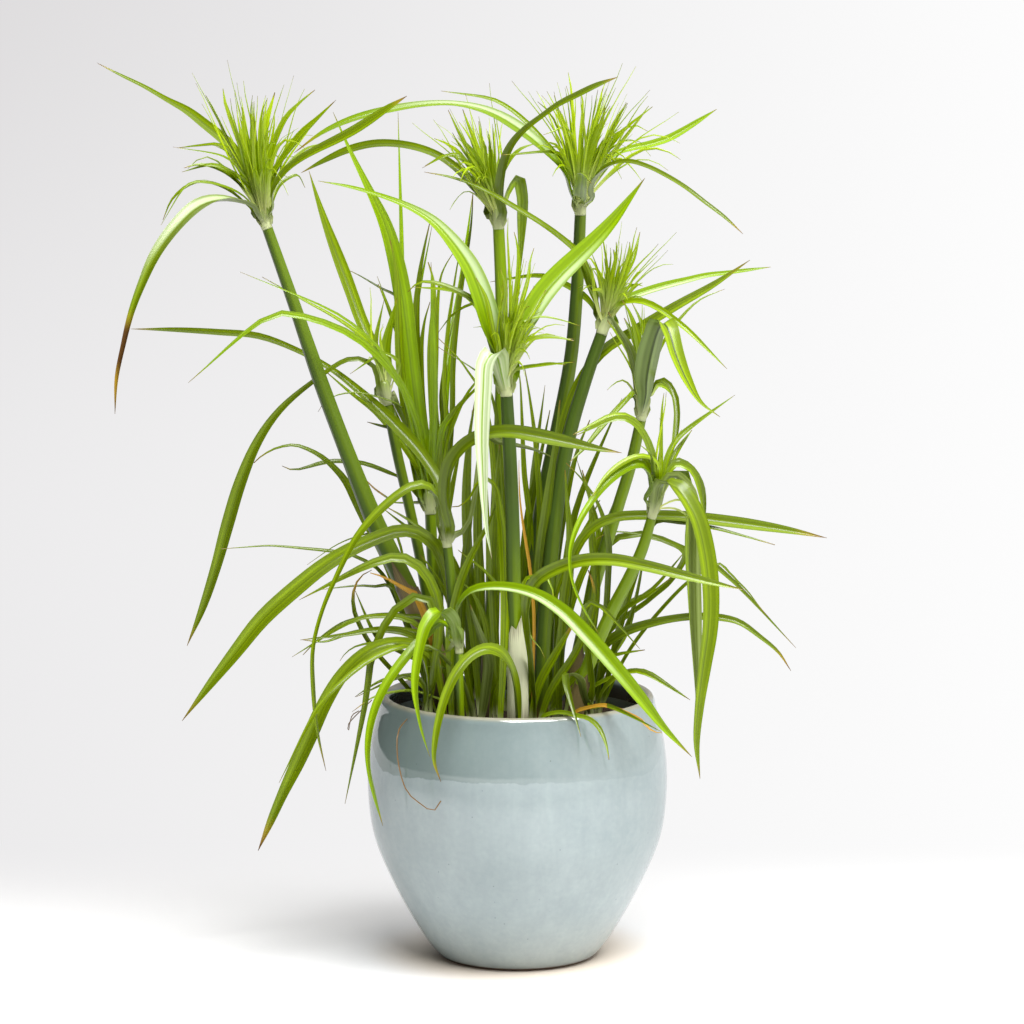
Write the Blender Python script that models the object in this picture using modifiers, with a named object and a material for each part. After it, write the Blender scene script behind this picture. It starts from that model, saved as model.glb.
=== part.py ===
"""A papyrus plant growing in a round glazed pot.

Metres, +Z up. The origin is the middle of the pot's flat underside.
+X is the plant's right as seen from in front, and +Y points away from the viewer.
"""

import math

import bmesh
import bpy
from mathutils import Matrix, Vector

MM = 0.001
GAP = 0.3 * MM

# The pot.
POT_WIDTH = 0.221
POT_HEIGHT = 0.195
FOOT_WIDTH = 0.117
LIP_WIDTH = 0.203
WALL = 0.0085
FLOOR = 0.010
POT_SIDES = 32

# The soil fills the pot to this far below the lip.
SOIL_BELOW_LIP = 0.023
SOIL_TOP = POT_HEIGHT - SOIL_BELOW_LIP

# The leaves are laid out on the front view: a place is a pixel of a picture 1024 pixels
# square, taken from VIEWER along a line sloping down by VIEW_SLOPE, and a depth in
# millimetres behind the pot's axis.
VIEWER = Vector((-0.004, -2.8, 0.72))
VIEW_SLOPE = math.radians(7.94)
VIEW_FOCAL_PX = 3866.0
VIEW_MIDDLE_PX = 512.0
AHEAD = Vector((0, math.cos(VIEW_SLOPE), -math.sin(VIEW_SLOPE)))
ABOVE = Vector((0, math.sin(VIEW_SLOPE), math.cos(VIEW_SLOPE)))
RIGHT = Vector((1, 0, 0))
UP = Vector((0, 0, 1))

# A leaf is a shallow channel with sharp edges and a thicker midrib.
MIDRIB_THICKNESS = 0.9 * MM
CHANNEL = 0.26
BLADE_STOPS = 11
TWIST_SHARE = 0.3
FOOT_TWIST = 0.6
SHOWS_BEST = 0.6
FACE_STEPS = 60

# The crown of fine rays on a stem sits on a small round hub.
HUB_RADIUS = 4.2 * MM
BRACT_RING_RADIUS = 6.4 * MM
BRACT_FOOT = 5.2 * MM

# A stem has three rounded sides, so its corners stand out past its shown width.
STEM_STOPS = 7
STEM_FULLNESS = 1.14

COLOURS = {
    "glaze": ((0.49, 0.58, 0.57, 1), 0.22),
    "soil": ((0.035, 0.024, 0.017, 1), 0.95),
    "stem": ((0.10, 0.17, 0.03, 1), 0.45),
    "leaf": ((0.30, 0.50, 0.03, 1), 0.42),
    "rays": ((0.38, 0.55, 0.04, 1), 0.5),
}


def seen(px, py, depth):
    """The point at a depth, in millimetres behind the pot's axis, seen at a pixel."""
    across = (px - VIEW_MIDDLE_PX) / VIEW_FOCAL_PX
    rise = (VIEW_MIDDLE_PX - py) / VIEW_FOCAL_PX
    sight = AHEAD + RIGHT * across + ABOVE * rise
    return VIEWER + sight * ((depth * MM - VIEWER.y) / sight.y)


def on_soil(px, depth):
    """The point just above the soil at a depth, seen in a pixel column."""
    point = seen(px, VIEW_MIDDLE_PX, depth)
    reach = (point - VIEWER).length
    drop = VIEWER.z - SOIL_TOP
    py = VIEW_MIDDLE_PX + VIEW_FOCAL_PX * math.tan(math.atan2(drop, reach) - VIEW_SLOPE)
    point = seen(px, py, depth)
    point.z = SOIL_TOP + GAP
    return point


def pixel_size(point):
    """The width, in metres, of one pixel at a point."""
    return (point - VIEWER).dot(AHEAD) / VIEW_FOCAL_PX


class Route:
    """A smooth line through points, read by its share of length from 0 to 1."""

    STEPS = 10

    def __init__(self, points):
        self.line = self.smooth(points)
        self.far = [0.0]
        for here, ahead in zip(self.line, self.line[1:]):
            self.far.append(self.far[-1] + (ahead - here).length)
        self.length = self.far[-1]

    def smooth(self, points):
        spans = [max((b - a).length, 1e-6) for a, b in zip(points, points[1:])]
        slopes = [(b - a) / span for a, b, span in zip(points, points[1:], spans)]
        headings = [slopes[0]]
        for before, after, gone, coming in zip(slopes, slopes[1:], spans, spans[1:]):
            headings.append((before * coming + after * gone) / (gone + coming))
        headings.append(slopes[-1])
        line = []
        for index, span in enumerate(spans):
            start, end = points[index], points[index + 1]
            leave, arrive = headings[index] * span, headings[index + 1] * span
            for step in range(self.STEPS):
                t = step / self.STEPS
                line.append(
                    start * (2 * t**3 - 3 * t**2 + 1)
                    + leave * (t**3 - 2 * t**2 + t)
                    + end * (3 * t**2 - 2 * t**3)
                    + arrive * (t**3 - t**2)
                )
        line.append(points[-1].copy())
        return line

    def at(self, share):
        goal = min(max(share, 0.0), 1.0) * self.length
        for index in range(len(self.far) - 1):
            if self.far[index + 1] >= goal:
                span = max(self.far[index + 1] - self.far[index], 1e-9)
                return self.line[index].lerp(self.line[index + 1], (goal - self.far[index]) / span)
        return self.line[-1].copy()

    def heading(self, share, reach=0.012):
        return (self.at(share + reach) - self.at(share - reach)).normalized()

    def stops(self, count, bend_length=0.012):
        """Shares along the line, closer together where it bends."""
        effort = [0.0]
        fine = 160
        for step in range(fine):
            here, ahead = self.heading(step / fine), self.heading((step + 1) / fine)
            effort.append(effort[-1] + self.length / fine + bend_length * here.angle(ahead, 0.0))
        shares = []
        for stop in range(count + 1):
            goal = effort[-1] * stop / count
            index = next(i for i, value in enumerate(effort) if value >= goal - 1e-12)
            if index:
                part = (goal - effort[index - 1]) / (effort[index] - effort[index - 1])
                shares.append((index - 1 + part) / fine)
            else:
                shares.append(0.0)
        return shares


def ease(share):
    return share * share * (3 - 2 * share)


def mix_list(values, share):
    """A value read between evenly or unevenly placed (share, value) pairs."""
    for (left, low), (right, high) in zip(values, values[1:]):
        if share <= right:
            return low + (high - low) * (share - left) / max(right - left, 1e-9)
    return values[-1][1]


def square_to(vector, heading):
    flat = vector - heading * vector.dot(heading)
    if flat.length < 1e-6:
        flat = heading.orthogonal()
    return flat.normalized()


def leaf_face(heading, turn, side):
    """Which way a leaf's upper face points: at the viewer, turned about the leaf by an angle."""
    toward = square_to(Vector((0, -1, 0)), heading)
    return toward * math.cos(turn) + heading.cross(toward) * (math.sin(turn) * -side)


def shown_share(heading, across):
    """How much of a leaf's width is seen from in front."""
    flat = Vector((heading.x, 0, heading.z))
    if flat.length < 0.05:
        return 1.0
    flat.normalize()
    return abs(across.dot(Vector((-flat.z, 0, flat.x))))


def leaf_ring(centre, heading, face, half_width, half_thick):
    """Four corners round a leaf: right edge, underside, left edge, upper side."""
    face = square_to(face, heading)
    across = heading.cross(face)
    lift = face * (CHANNEL * half_width)
    return [
        centre + across * half_width + lift,
        centre - face * half_thick,
        centre - across * half_width + lift,
        centre + face * half_thick,
    ]


class Leaf:
    """The rings of a leaf whose places and widths are read on the front view."""

    def __init__(self, start, places, depths, turn, foot=None, first_face=None, stops=BLADE_STOPS):
        """places are (px, py, width in px), base to tip, and depths are at base and tip."""
        rough = [0.0]
        for (ax, ay, _), (bx, by, _) in zip(places, places[1:]):
            rough.append(rough[-1] + math.hypot(bx - ax, by - ay))
        lead = math.hypot(places[0][0] - start[0], places[0][1] - start[1])
        whole = lead + rough[-1]
        near, far = depths
        points = [start[2]]
        for (px, py, _), gone in zip(places, rough):
            share = (lead + gone) / whole
            points.append(seen(px, py, near + (far - near) * math.sin(share * math.pi / 2)))
        if foot is not None:
            points.insert(1, start[2] + foot)
        self.route = Route(points)
        self.widths = [(0.0, BRACT_FOOT)]
        for (px, py, width), gone in zip(places, rough):
            share = (lead + gone) / whole
            self.widths.append((share, width * pixel_size(points[-1])))
        self.turn = math.radians(turn)
        self.side = 1 if places[-1][0] > start[0] else -1
        self.first_face = first_face
        self.faces = self.carried_faces()
        self.shares = self.route.stops(stops)

    def carried_faces(self):
        """The upper face along the leaf: set where the leaf shows best, carried both ways."""
        headings = [self.route.heading(step / FACE_STEPS) for step in range(FACE_STEPS + 1)]
        best = round(FACE_STEPS * SHOWS_BEST)
        faces = [None] * (FACE_STEPS + 1)
        faces[best] = leaf_face(headings[best], self.turn, self.side)
        for step in range(best + 1, FACE_STEPS + 1):
            faces[step] = square_to(faces[step - 1], headings[step])
        for step in range(best - 1, -1, -1):
            faces[step] = square_to(faces[step + 1], headings[step])
        return faces

    def face(self, share):
        face = self.faces[round(min(max(share, 0.0), 1.0) * FACE_STEPS)]
        if self.first_face is None or share >= TWIST_SHARE:
            return face
        heading = self.route.heading(share)
        start = square_to(self.first_face, heading)
        if start.dot(face) < 0:
            start = -start
        return face.slerp(start, FOOT_TWIST * (1 - ease(share / TWIST_SHARE)))

    def half_width(self, share):
        shown = mix_list(self.widths, share)
        heading = self.route.heading(share)
        across = heading.cross(square_to(self.face(share), heading))
        true = shown / max(shown_share(heading, across), 0.6)
        return max(0.5 * (shown + (true - shown) * ease(min(share / TWIST_SHARE, 1))), 0.35 * MM)

    def half_thick(self, share):
        return 0.5 * MIDRIB_THICKNESS * (1 - 0.45 * share)

    def ring(self, share):
        heading = self.route.heading(share)
        half_width = self.half_width(share)
        half_thick = min(self.half_thick(share), half_width * 0.6)
        return leaf_ring(self.route.at(share), heading, self.face(share), half_width, half_thick)


def collection():
    made = bpy.data.collections.get("papyrus_plant")
    if made is None:
        made = bpy.data.collections.new("papyrus_plant")
        bpy.context.scene.collection.children.link(made)
    return made


def material(name):
    made = bpy.data.materials.get(name)
    if made is None:
        colour, roughness = COLOURS[name]
        made = bpy.data.materials.new(name)
        made.use_nodes = True
        surface = made.node_tree.nodes["Principled BSDF"]
        surface.inputs["Base Color"].default_value = colour
        surface.inputs["Roughness"].default_value = roughness
        made.diffuse_color = colour
    return made


def place(name, shape, colour, parent, spot=None):
    """Turn a bmesh in world metres into a named object with its origin at a spot."""
    spot = spot if spot is not None else Vector()
    bmesh.ops.recalc_face_normals(shape, faces=shape.faces)
    bmesh.ops.translate(shape, verts=shape.verts, vec=-spot)
    mesh = bpy.data.meshes.new(name)
    shape.to_mesh(mesh)
    shape.free()
    mesh.materials.append(material(colour))
    made = bpy.data.objects.new(name, mesh)
    collection().objects.link(made)
    made.parent = parent
    made.location = spot
    mesh.shade_smooth()
    mesh.set_sharp_from_angle(angle=math.radians(50))
    return made


def bent_cone(rings, tip, sides):
    """A cone cut into rings, each ring then moved to its own corners."""
    shape = bmesh.new()
    bmesh.ops.create_cone(
        shape, cap_ends=True, segments=sides, radius1=1, radius2=0, depth=1,
        matrix=Matrix.Translation((0, 0, 0.5)),
    )
    count = len(rings)
    for cut in range(1, count):
        parts = shape.verts[:] + shape.edges[:] + shape.faces[:]
        bmesh.ops.bisect_plane(shape, geom=parts, plane_co=(0, 0, cut / count), plane_no=(0, 0, 1))
    placed = [[None] * sides for _ in rings]
    for vert in shape.verts:
        index = round(vert.co.z * count)
        if index == count:
            vert.co = tip
            continue
        angle = math.atan2(vert.co.y, vert.co.x) % (2 * math.pi)
        corner = round(angle / (2 * math.pi) * sides) % sides
        placed[index][corner] = vert
    for ring, corners in zip(placed, rings):
        for vert, corner in zip(ring, corners):
            vert.co = corner
    for lower, upper in zip(placed, placed[1:]):
        split_sides(lower, upper)
    return shape


def split_sides(lower, upper):
    """Part the four-sided faces between two rings from the leaf's edges to its midrib.

    The upper and lower surfaces then turn together where the leaf twists.
    """
    for corner in (0, 2):
        for beside in (1, -1):
            edge = lower[corner]
            middle = upper[(corner + beside) % 4]
            for face in edge.link_faces:
                if middle in face.verts and len(face.verts) == 4:
                    bmesh.utils.face_split(face, edge, middle)
                    break


def make_blade(name, leaf, parent):
    rings = [leaf.ring(share) for share in leaf.shares[:-1]]
    shape = bent_cone(rings, leaf.route.at(1), 4)
    return place(name, shape, "leaf", parent, leaf.route.at(0))


def pot_side():
    """The pot's outer side as (radius, height), foot to lip, through its main widths."""
    foot, widest, lip = FOOT_WIDTH / 2, POT_WIDTH / 2, LIP_WIDTH / 2
    shares = [
        (foot, 0.0),
        (foot + 0.25 * (widest - foot), 0.09),
        (foot + 0.635 * (widest - foot), 0.277),
        (foot + 0.915 * (widest - foot), 0.462),
        (widest, 0.65),
        (widest - 0.22 * (widest - lip), 0.81),
        (lip, 0.962),
    ]
    return Route([Vector((radius, 0, share * POT_HEIGHT)) for radius, share in shares])


def turned(name, profile, colour, parent):
    """A solid turned round the Z axis from a profile that runs down its outer side."""
    mesh = bpy.data.meshes.new(name)
    edges = [(index, index + 1) for index in range(len(profile) - 1)]
    mesh.from_pydata([(radius, 0, height) for radius, height in profile], edges, [])
    mesh.materials.append(material(colour))
    made = bpy.data.objects.new(name, mesh)
    collection().objects.link(made)
    made.parent = parent
    turn = made.modifiers.new("Turn", "SCREW")
    turn.axis = "Z"
    turn.steps = POT_SIDES
    turn.render_steps = POT_SIDES
    turn.use_merge_vertices = True
    turn.merge_threshold = 0.00005
    turn.use_smooth_shade = True
    return made


def inner_radius(side, height):
    """The radius of the pot's inner wall at a height."""
    for step in range(101):
        point = side.at(step / 100)
        if point.z >= height:
            return point.x - WALL
    return side.at(1).x - WALL


def make_pot(parent):
    side = pot_side()
    outer = [side.at(step / 9) for step in range(9, -1, -1)]
    lip_outer = side.at(1)
    lip_middle = lip_outer.x - WALL / 2
    lip_rise = POT_HEIGHT - lip_outer.z
    profile = [(0, FLOOR), (inner_radius(side, FLOOR) - 0.004, FLOOR)]
    for height in (0.018, 0.045, 0.08, 0.12, 0.155, SOIL_TOP):
        profile.append((inner_radius(side, height), height))
    for step in range(6):
        angle = math.pi * (1 - step / 6)
        profile.append((
            lip_middle + WALL / 2 * math.cos(angle),
            lip_outer.z + lip_rise * math.sin(angle),
        ))
    profile += [(point.x, point.z) for point in outer]
    profile.append((0, 0))
    return turned("pot", profile, "glaze", parent)


def make_soil(parent):
    side = pot_side()
    low = FLOOR + GAP
    profile = [(0, SOIL_TOP)]
    for height in (SOIL_TOP, 0.155, 0.12, 0.08, 0.045, 0.018):
        profile.append((inner_radius(side, height) - 2 * GAP, height))
    profile.append((inner_radius(side, FLOOR) - 0.005, low))
    profile.append((0, low))
    return turned("soil", profile, "soil", parent)


# Each stem: (px, py, depth in mm, width in px), top to soil. The soil end gives no py.
STEMS = {
    "far_left": [
        (266, 226, 15, 10.5), (277.5, 260, 14, 11), (292, 300, 13, 12), (309, 350, 12, 14.5),
        (326.5, 400, 10, 15), (342, 440, 6, 15), (357, 482, 3, 16.5), (373, 520, 0, 18.5),
        (393, 560, -2, 20), (411, 600, -4, 20), (431, 650, -5, 20), (450, -5, 19),
    ],
    "left": [
        (387, 402, 30, 10), (392, 430, 30, 10), (398, 460, 29, 10), (405, 490, 28, 10),
        (416, 540, 26, 10), (428, 610, 24, 10), (436, 20, 10),
    ],
    "young": [
        (430, 511, 57, 11), (432, 560, 56, 11), (437, 620, 50, 11), (446, 46, 11),
    ],
    "low_centre": [
        (447, 544, -29, 9), (450, 575, -29, 10), (454, 630, -29, 10), (459, -29, 10),
    ],
    "low_front": [
        (459, 650, -58, 8), (459, 675, -57, 8), (460, -55, 8),
    ],
    "rear": [
        (498, 226, 46, 11), (500, 260, 46, 11.5), (501, 300, 45, 12), (501, 380, 42, 12),
        (498, 470, 36, 12), (493, 570, 28, 12), (487, 18, 13),
    ],
    "tall": [
        (580, 212, 50, 11), (580, 240, 50, 11.5), (577, 280, 50, 12), (574, 320, 50, 12.5),
        (570, 360, 50, 13), (561, 410, 50, 13.5), (550, 460, 49, 14), (539, 520, 47, 14.5),
        (530, 590, 44, 15), (521, 40, 15),
    ],
    "right_rear": [
        (602, 331, 22, 11), (596, 350, 21, 12), (587, 375, 20, 12.5), (578, 400, 18, 13),
        (570, 430, 16, 13.5), (563, 460, 12, 14), (557, 500, 8, 14.5), (551, 550, 4, 15),
        (545, 610, 2, 15), (540, 0, 15),
    ],
    "centre": [
        (506, 393, -45, 12), (508, 430, -45, 13), (510, 470, -45, 13), (512, 520, -44, 13.5),
        (513, 580, -42, 14), (515, 640, -41, 15), (517, -40, 18),
    ],
    "right": [
        (641, 417, 6, 10), (636, 440, 7, 11), (629, 470, 8, 11), (618, 505, 10, 11.5),
        (604, 550, 13, 12), (590, 600, 17, 12), (571, 20, 12),
    ],
    "low_right": [
        (652, 515, -54, 9), (645, 540, -52, 10.5), (635, 565, -49, 11.5), (622, 590, -44, 12),
        (608, 618, -38, 12.5), (596, 645, -34, 12.5), (575, -30, 13),
    ],
}

# Each large bract: its stem, how far round the stem it starts (0 right, 90 behind, 180 left),
# its tip's depth in mm, how far its face turns from the viewer, and (px, py, width in px).
BRACTS = {
    "bract_far_left_crown": ("far_left", 140, 90, 30, [
        (257, 197, 7), (245, 168, 9), (231, 147, 10), (215, 134, 10), (200, 121, 9.5),
        (185, 110, 8), (165, 99, 5), (150, 90, 4), (130, 80, 3), (110, 70, 2), (97, 63, 1)]),
    "bract_far_left_droop": ("far_left", 225, -70, 35, [
        (256, 209, 9), (246, 204, 10), (232, 201, 10), (219, 201, 12), (206, 204, 13),
        (194, 212, 13), (182, 223, 13), (171, 236, 13), (160, 251, 12), (150, 268, 11),
        (142, 288, 9), (134, 308, 7), (128, 328, 6), (123, 350, 5), (118, 372, 4.5),
        (116, 392, 3), (115, 414, 1)]),
    "bract_far_left_inner": ("far_left", 330, -30, 35, [
        (273, 194, 5), (282, 176, 6), (293, 165, 6), (310, 154, 7), (330, 144, 8),
        (350, 134, 9), (368, 123, 9), (385, 111, 7), (398, 102, 4), (407, 96, 1)]),
    "bract_rear_left": ("rear", 180, 92, 35, [
        (487, 206, 7), (478, 194, 8), (469, 182, 8.5), (459, 171, 8), (448, 162, 7),
        (436, 155, 7), (420, 149, 7), (400, 145, 7), (380, 144, 7), (362, 147, 7.5),
        (345, 152, 7), (325, 161, 5), (301, 173, 1)]),
    "bract_rear_right": ("rear", 300, -15, 25, [
        (500, 200, 10), (501, 185, 10), (504, 168, 9), (509, 151, 8), (517, 138, 7),
        (528, 127, 6), (541, 117, 5), (556, 106, 5), (573, 97, 6), (590, 89, 6),
        (604, 82, 4.5), (618, 77, 1)]),
    "bract_tall_left": ("tall", 200, -15, 30, [
        (570, 184, 8), (559, 167, 9), (547, 153, 9), (535, 143, 10), (521, 132, 11),
        (506, 121, 11), (490, 113, 9), (473, 107, 7), (455, 104, 5), (435, 103, 5),
        (415, 106, 6), (395, 109, 7), (370, 114, 7), (345, 122, 6), (322, 133, 4),
        (307, 144, 3), (294, 153, 1)]),
    "bract_tall_right": ("tall", 20, 88, 30, [
        (592, 184, 6), (599, 167, 6), (609, 158, 5), (622, 151, 5), (640, 147, 6),
        (657, 143, 7), (673, 137, 7), (688, 128, 6), (702, 119, 4), (717, 109, 1)]),
    "bract_tall_droop": ("tall", 330, -45, 40, [
        (594, 183, 9), (602, 172, 9), (612, 165, 6), (626, 162, 4), (642, 165, 4),
        (660, 173, 4), (680, 184, 4), (700, 199, 4), (720, 214, 3.5), (735, 226, 2.5),
        (743, 234, 1)]),
    "bract_right_rear_long": ("right_rear", 12, 78, 30, [
        (613, 314, 7), (621, 304, 7), (632, 297, 7), (648, 291, 7), (665, 286, 7),
        (685, 281, 6), (705, 276, 5), (728, 273, 4), (750, 270, 3), (771, 267, 1)]),
    "bract_right_rear_left": ("right_rear", 150, 22, 35, [
        (596, 300, 5), (589, 275, 6), (578, 254, 6), (563, 240, 5.5), (543, 225, 5),
        (522, 212, 5), (502, 200, 4.5), (482, 189, 3.5), (460, 180, 2.5), (424, 172, 1)]),
    "bract_centre_left": ("centre", 195, -35, 25, [
        (498, 362, 13), (491, 335, 19), (484, 308, 22), (476, 283, 20), (466, 262, 18),
        (455, 246, 15), (443, 232, 12), (430, 219, 9), (415, 210, 7), (398, 202, 5),
        (375, 194, 4), (350, 187, 3), (318, 181, 1)]),
    "bract_centre_right": ("centre", 30, 0, 25, [
        (514, 352, 14), (525, 327, 20), (538, 303, 22), (553, 284, 21), (570, 266, 19),
        (588, 249, 17), (604, 232, 14), (619, 214, 10), (632, 196, 5), (645, 178, 1)]),
    "bract_centre_front": ("centre", 240, -100, 15, [
        (500, 375, 12), (499, 361, 16), (494, 354, 17), (487, 360, 17), (484, 378, 17),
        (483, 400, 16), (482, 425, 15), (482, 450, 13), (483, 475, 10), (484, 500, 7),
        (486, 525, 4), (492, 559, 1)]),
    "bract_right_fold": ("right", 340, -60, 15, [
        (645, 393, 15), (648, 372, 19), (652, 350, 20), (657, 333, 20), (663, 324, 18),
        (668, 330, 17), (673, 347, 15), (680, 366, 13), (688, 383, 10), (697, 398, 5),
        (707, 409, 2.5), (720, 417, 1)]),
    "bract_low_right_arch": ("low_right", 190, -120, 30, [
        (650, 489, 8), (648, 474, 8), (640, 466, 8), (627, 469, 8), (613, 479, 8),
        (601, 491, 7), (590, 505, 6.5), (580, 522, 6), (573, 540, 5), (570, 558, 3.5),
        (572, 578, 3), (579, 598, 2.5), (589, 618, 2), (599, 634, 1)]),
    "bract_low_right_front": ("low_right", 300, -110, 15, [
        (657, 492, 12), (661, 484, 17), (671, 485, 19), (682, 494, 19), (691, 508, 18),
        (698, 525, 18), (703, 545, 18), (707, 570, 19), (709, 600, 18), (708, 630, 17),
        (704, 660, 15), (700, 690, 12), (697, 720, 9), (696, 750, 6), (700, 779, 1)]),
    "bract_left_upright": ("left", 150, 75, 25, [
        (383, 380, 7), (375, 354, 10), (362, 325, 12), (350, 292, 12), (339, 262, 12),
        (328, 232, 9), (319, 205, 5), (309, 171, 1)]),
    "bract_left_long": ("left", 200, 25, 20, [
        (381, 381, 5), (374, 366, 5), (363, 358, 5), (350, 359, 5), (335, 367, 4),
        (320, 377, 4), (305, 388, 5), (290, 401, 6), (275, 416, 7), (262, 435, 9),
        (252, 456, 10), (243, 478, 12), (236, 500, 13), (230, 520, 13), (225, 540, 12),
        (219, 560, 11), (213, 580, 10), (206, 600, 8.5), (199, 620, 6), (187, 646, 1)]),
    "bract_young_broad": ("young", 190, 58, 15, [
        (425, 465, 12), (418, 425, 16), (412, 380, 17), (408, 345, 17), (404, 315, 18),
        (401, 290, 18), (396, 265, 17), (390, 240, 15), (381, 215, 12), (370, 192, 8),
        (358, 167, 5), (345, 140, 3), (333, 112, 1)]),
    "bract_low_centre_right": ("low_centre", 300, -80, 25, [
        (447, 515, 12), (447, 490, 13), (450, 468, 12), (459, 452, 12), (472, 441, 12),
        (488, 434, 12), (505, 432, 12), (525, 434, 13), (545, 438, 14), (565, 442, 12),
        (585, 446, 9), (602, 450, 5), (622, 453, 1)]),
    "bract_low_centre_left": ("low_centre", 165, 62, 30, [
        (443, 508, 9), (437, 482, 10), (428, 465, 11), (415, 447, 11), (400, 430, 12),
        (385, 416, 11), (370, 401, 9), (355, 388, 7), (340, 376, 6), (322, 363, 5),
        (300, 352, 5), (280, 344, 5), (260, 337, 6), (240, 334, 6), (220, 333, 6),
        (195, 331, 5), (165, 330, 4), (131, 329, 1)]),
    "bract_low_centre_arch": ("low_centre", 230, -80, 35, [
        (440, 517, 10), (436, 501, 11), (429, 489, 11), (418, 486, 9), (405, 491, 8),
        (392, 501, 8), (378, 514, 8), (365, 528, 8), (353, 545, 6), (343, 565, 5),
        (333, 585, 4.5), (325, 605, 4), (318, 625, 3.5), (313, 655, 4), (314, 690, 4.5),
        (317, 725, 3.5), (326, 771, 1)]),
    "bract_low_front_arch": ("low_front", 320, -125, 25, [
        (457, 625, 8), (459, 607, 8), (466, 596, 8), (477, 589, 7), (492, 587, 7),
        (510, 588, 8), (528, 592, 9), (545, 599, 10), (560, 610, 12), (575, 624, 14),
        (590, 640, 15), (605, 657, 15), (620, 674, 14), (635, 692, 13), (648, 709, 11),
        (660, 724, 8), (675, 740, 4), (692, 757, 1)]),
    "bract_low_front_droop": ("low_front", 250, -108, 25, [
        (454, 628, 10), (449, 618, 12), (441, 613, 12), (432, 618, 12), (425, 630, 12),
        (421, 645, 10), (418, 662, 9), (415, 680, 8), (416, 697, 6), (418, 712, 4),
        (421, 727, 3), (430, 757, 1)]),
    "bract_low_front_left": ("low_front", 180, -108, 30, [
        (450, 630, 6), (440, 623, 7), (427, 636, 8), (413, 651, 9), (400, 666, 9),
        (389, 682, 9), (380, 698, 8), (374, 715, 8), (370, 733, 7), (368, 750, 6),
        (369, 768, 4.5), (372, 785, 4), (377, 803, 3.5), (383, 826, 1.5)]),
}

# Each large leaf from the soil: (px, depth) where it starts, its tip's depth, its turn, places.
BASAL_LEAVES = {
    "leaf_left_broad": ((455, 15), -55, 25, [
        (454, 690, 7), (452, 640, 8), (447, 590, 9), (440, 560, 10), (428, 541, 11),
        (412, 532, 11), (395, 533, 12), (375, 540, 12), (352, 550, 13), (330, 563, 14),
        (308, 580, 15), (290, 595, 16), (270, 613, 16), (252, 632, 15.5), (237, 652, 14),
        (222, 672, 11), (208, 688, 8), (196, 703, 5), (182, 721, 1)]),
    "leaf_left_droop": ((444, -38), -68, 25, [
        (438, 690, 6), (436, 665, 7), (425, 650, 8), (404, 644, 9), (386, 645, 10),
        (370, 651, 11), (356, 662, 11), (343, 676, 12), (332, 693, 13), (322, 712, 14),
        (312, 735, 15), (302, 757, 15), (291, 779, 13), (281, 800, 10), (272, 820, 8),
        (264, 840, 5), (258, 851, 1)]),
    "leaf_front_arch": ((516, -64), -128, 15, [
        (515, 700, 14), (513, 682, 13), (509, 667, 11), (502, 656, 9), (490, 650, 8),
        (478, 652, 9), (466, 661, 10), (456, 674, 10), (448, 690, 10), (442, 707, 9),
        (438, 725, 8), (435, 742, 7), (434, 757, 5), (436, 770, 3), (441, 782, 1)]),
    "leaf_right_long": ((560, -8), -20, 30, [
        (560, 690, 7), (563, 640, 8), (567, 590, 9), (576, 552, 9), (588, 533, 9),
        (603, 522, 9), (622, 517, 9), (645, 516, 9), (670, 516, 9), (700, 519, 10),
        (725, 522, 11), (748, 525, 11), (770, 528, 9), (795, 532, 6), (815, 536, 3),
        (827, 538, 1)]),
    "leaf_right_bright": ((536, -24), -132, 25, [
        (535, 690, 6), (532, 650, 7), (529, 620, 8), (529, 600, 9), (535, 585, 9),
        (545, 575, 10), (560, 568, 11), (577, 562, 12), (595, 560, 12), (612, 560, 12),
        (630, 563, 12), (650, 567, 12), (670, 572, 11), (690, 577, 10), (710, 582, 7),
        (728, 587, 4), (745, 590, 1)]),
    "leaf_right_low": ((585, -2), -30, 30, [
        (585, 690, 6), (590, 672, 7), (598, 655, 8), (608, 643, 8), (622, 634, 9),
        (640, 627, 9), (660, 622, 8), (680, 618, 7), (700, 617, 7), (720, 618, 7),
        (738, 622, 6), (752, 631, 5), (765, 641, 4), (778, 652, 3), (791, 671, 1)]),
    "leaf_right_tall": ((550, 24), 32, 20, [
        (550, 690, 7), (551, 620, 8), (553, 560, 9), (555, 500, 9), (559, 450, 10),
        (566, 418, 10), (576, 391, 10), (589, 368, 10), (603, 352, 10), (620, 340, 10),
        (637, 330, 10), (655, 319, 10), (675, 307, 9), (695, 296, 8), (715, 284, 6),
        (732, 273, 4), (750, 260, 1)]),
}

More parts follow.
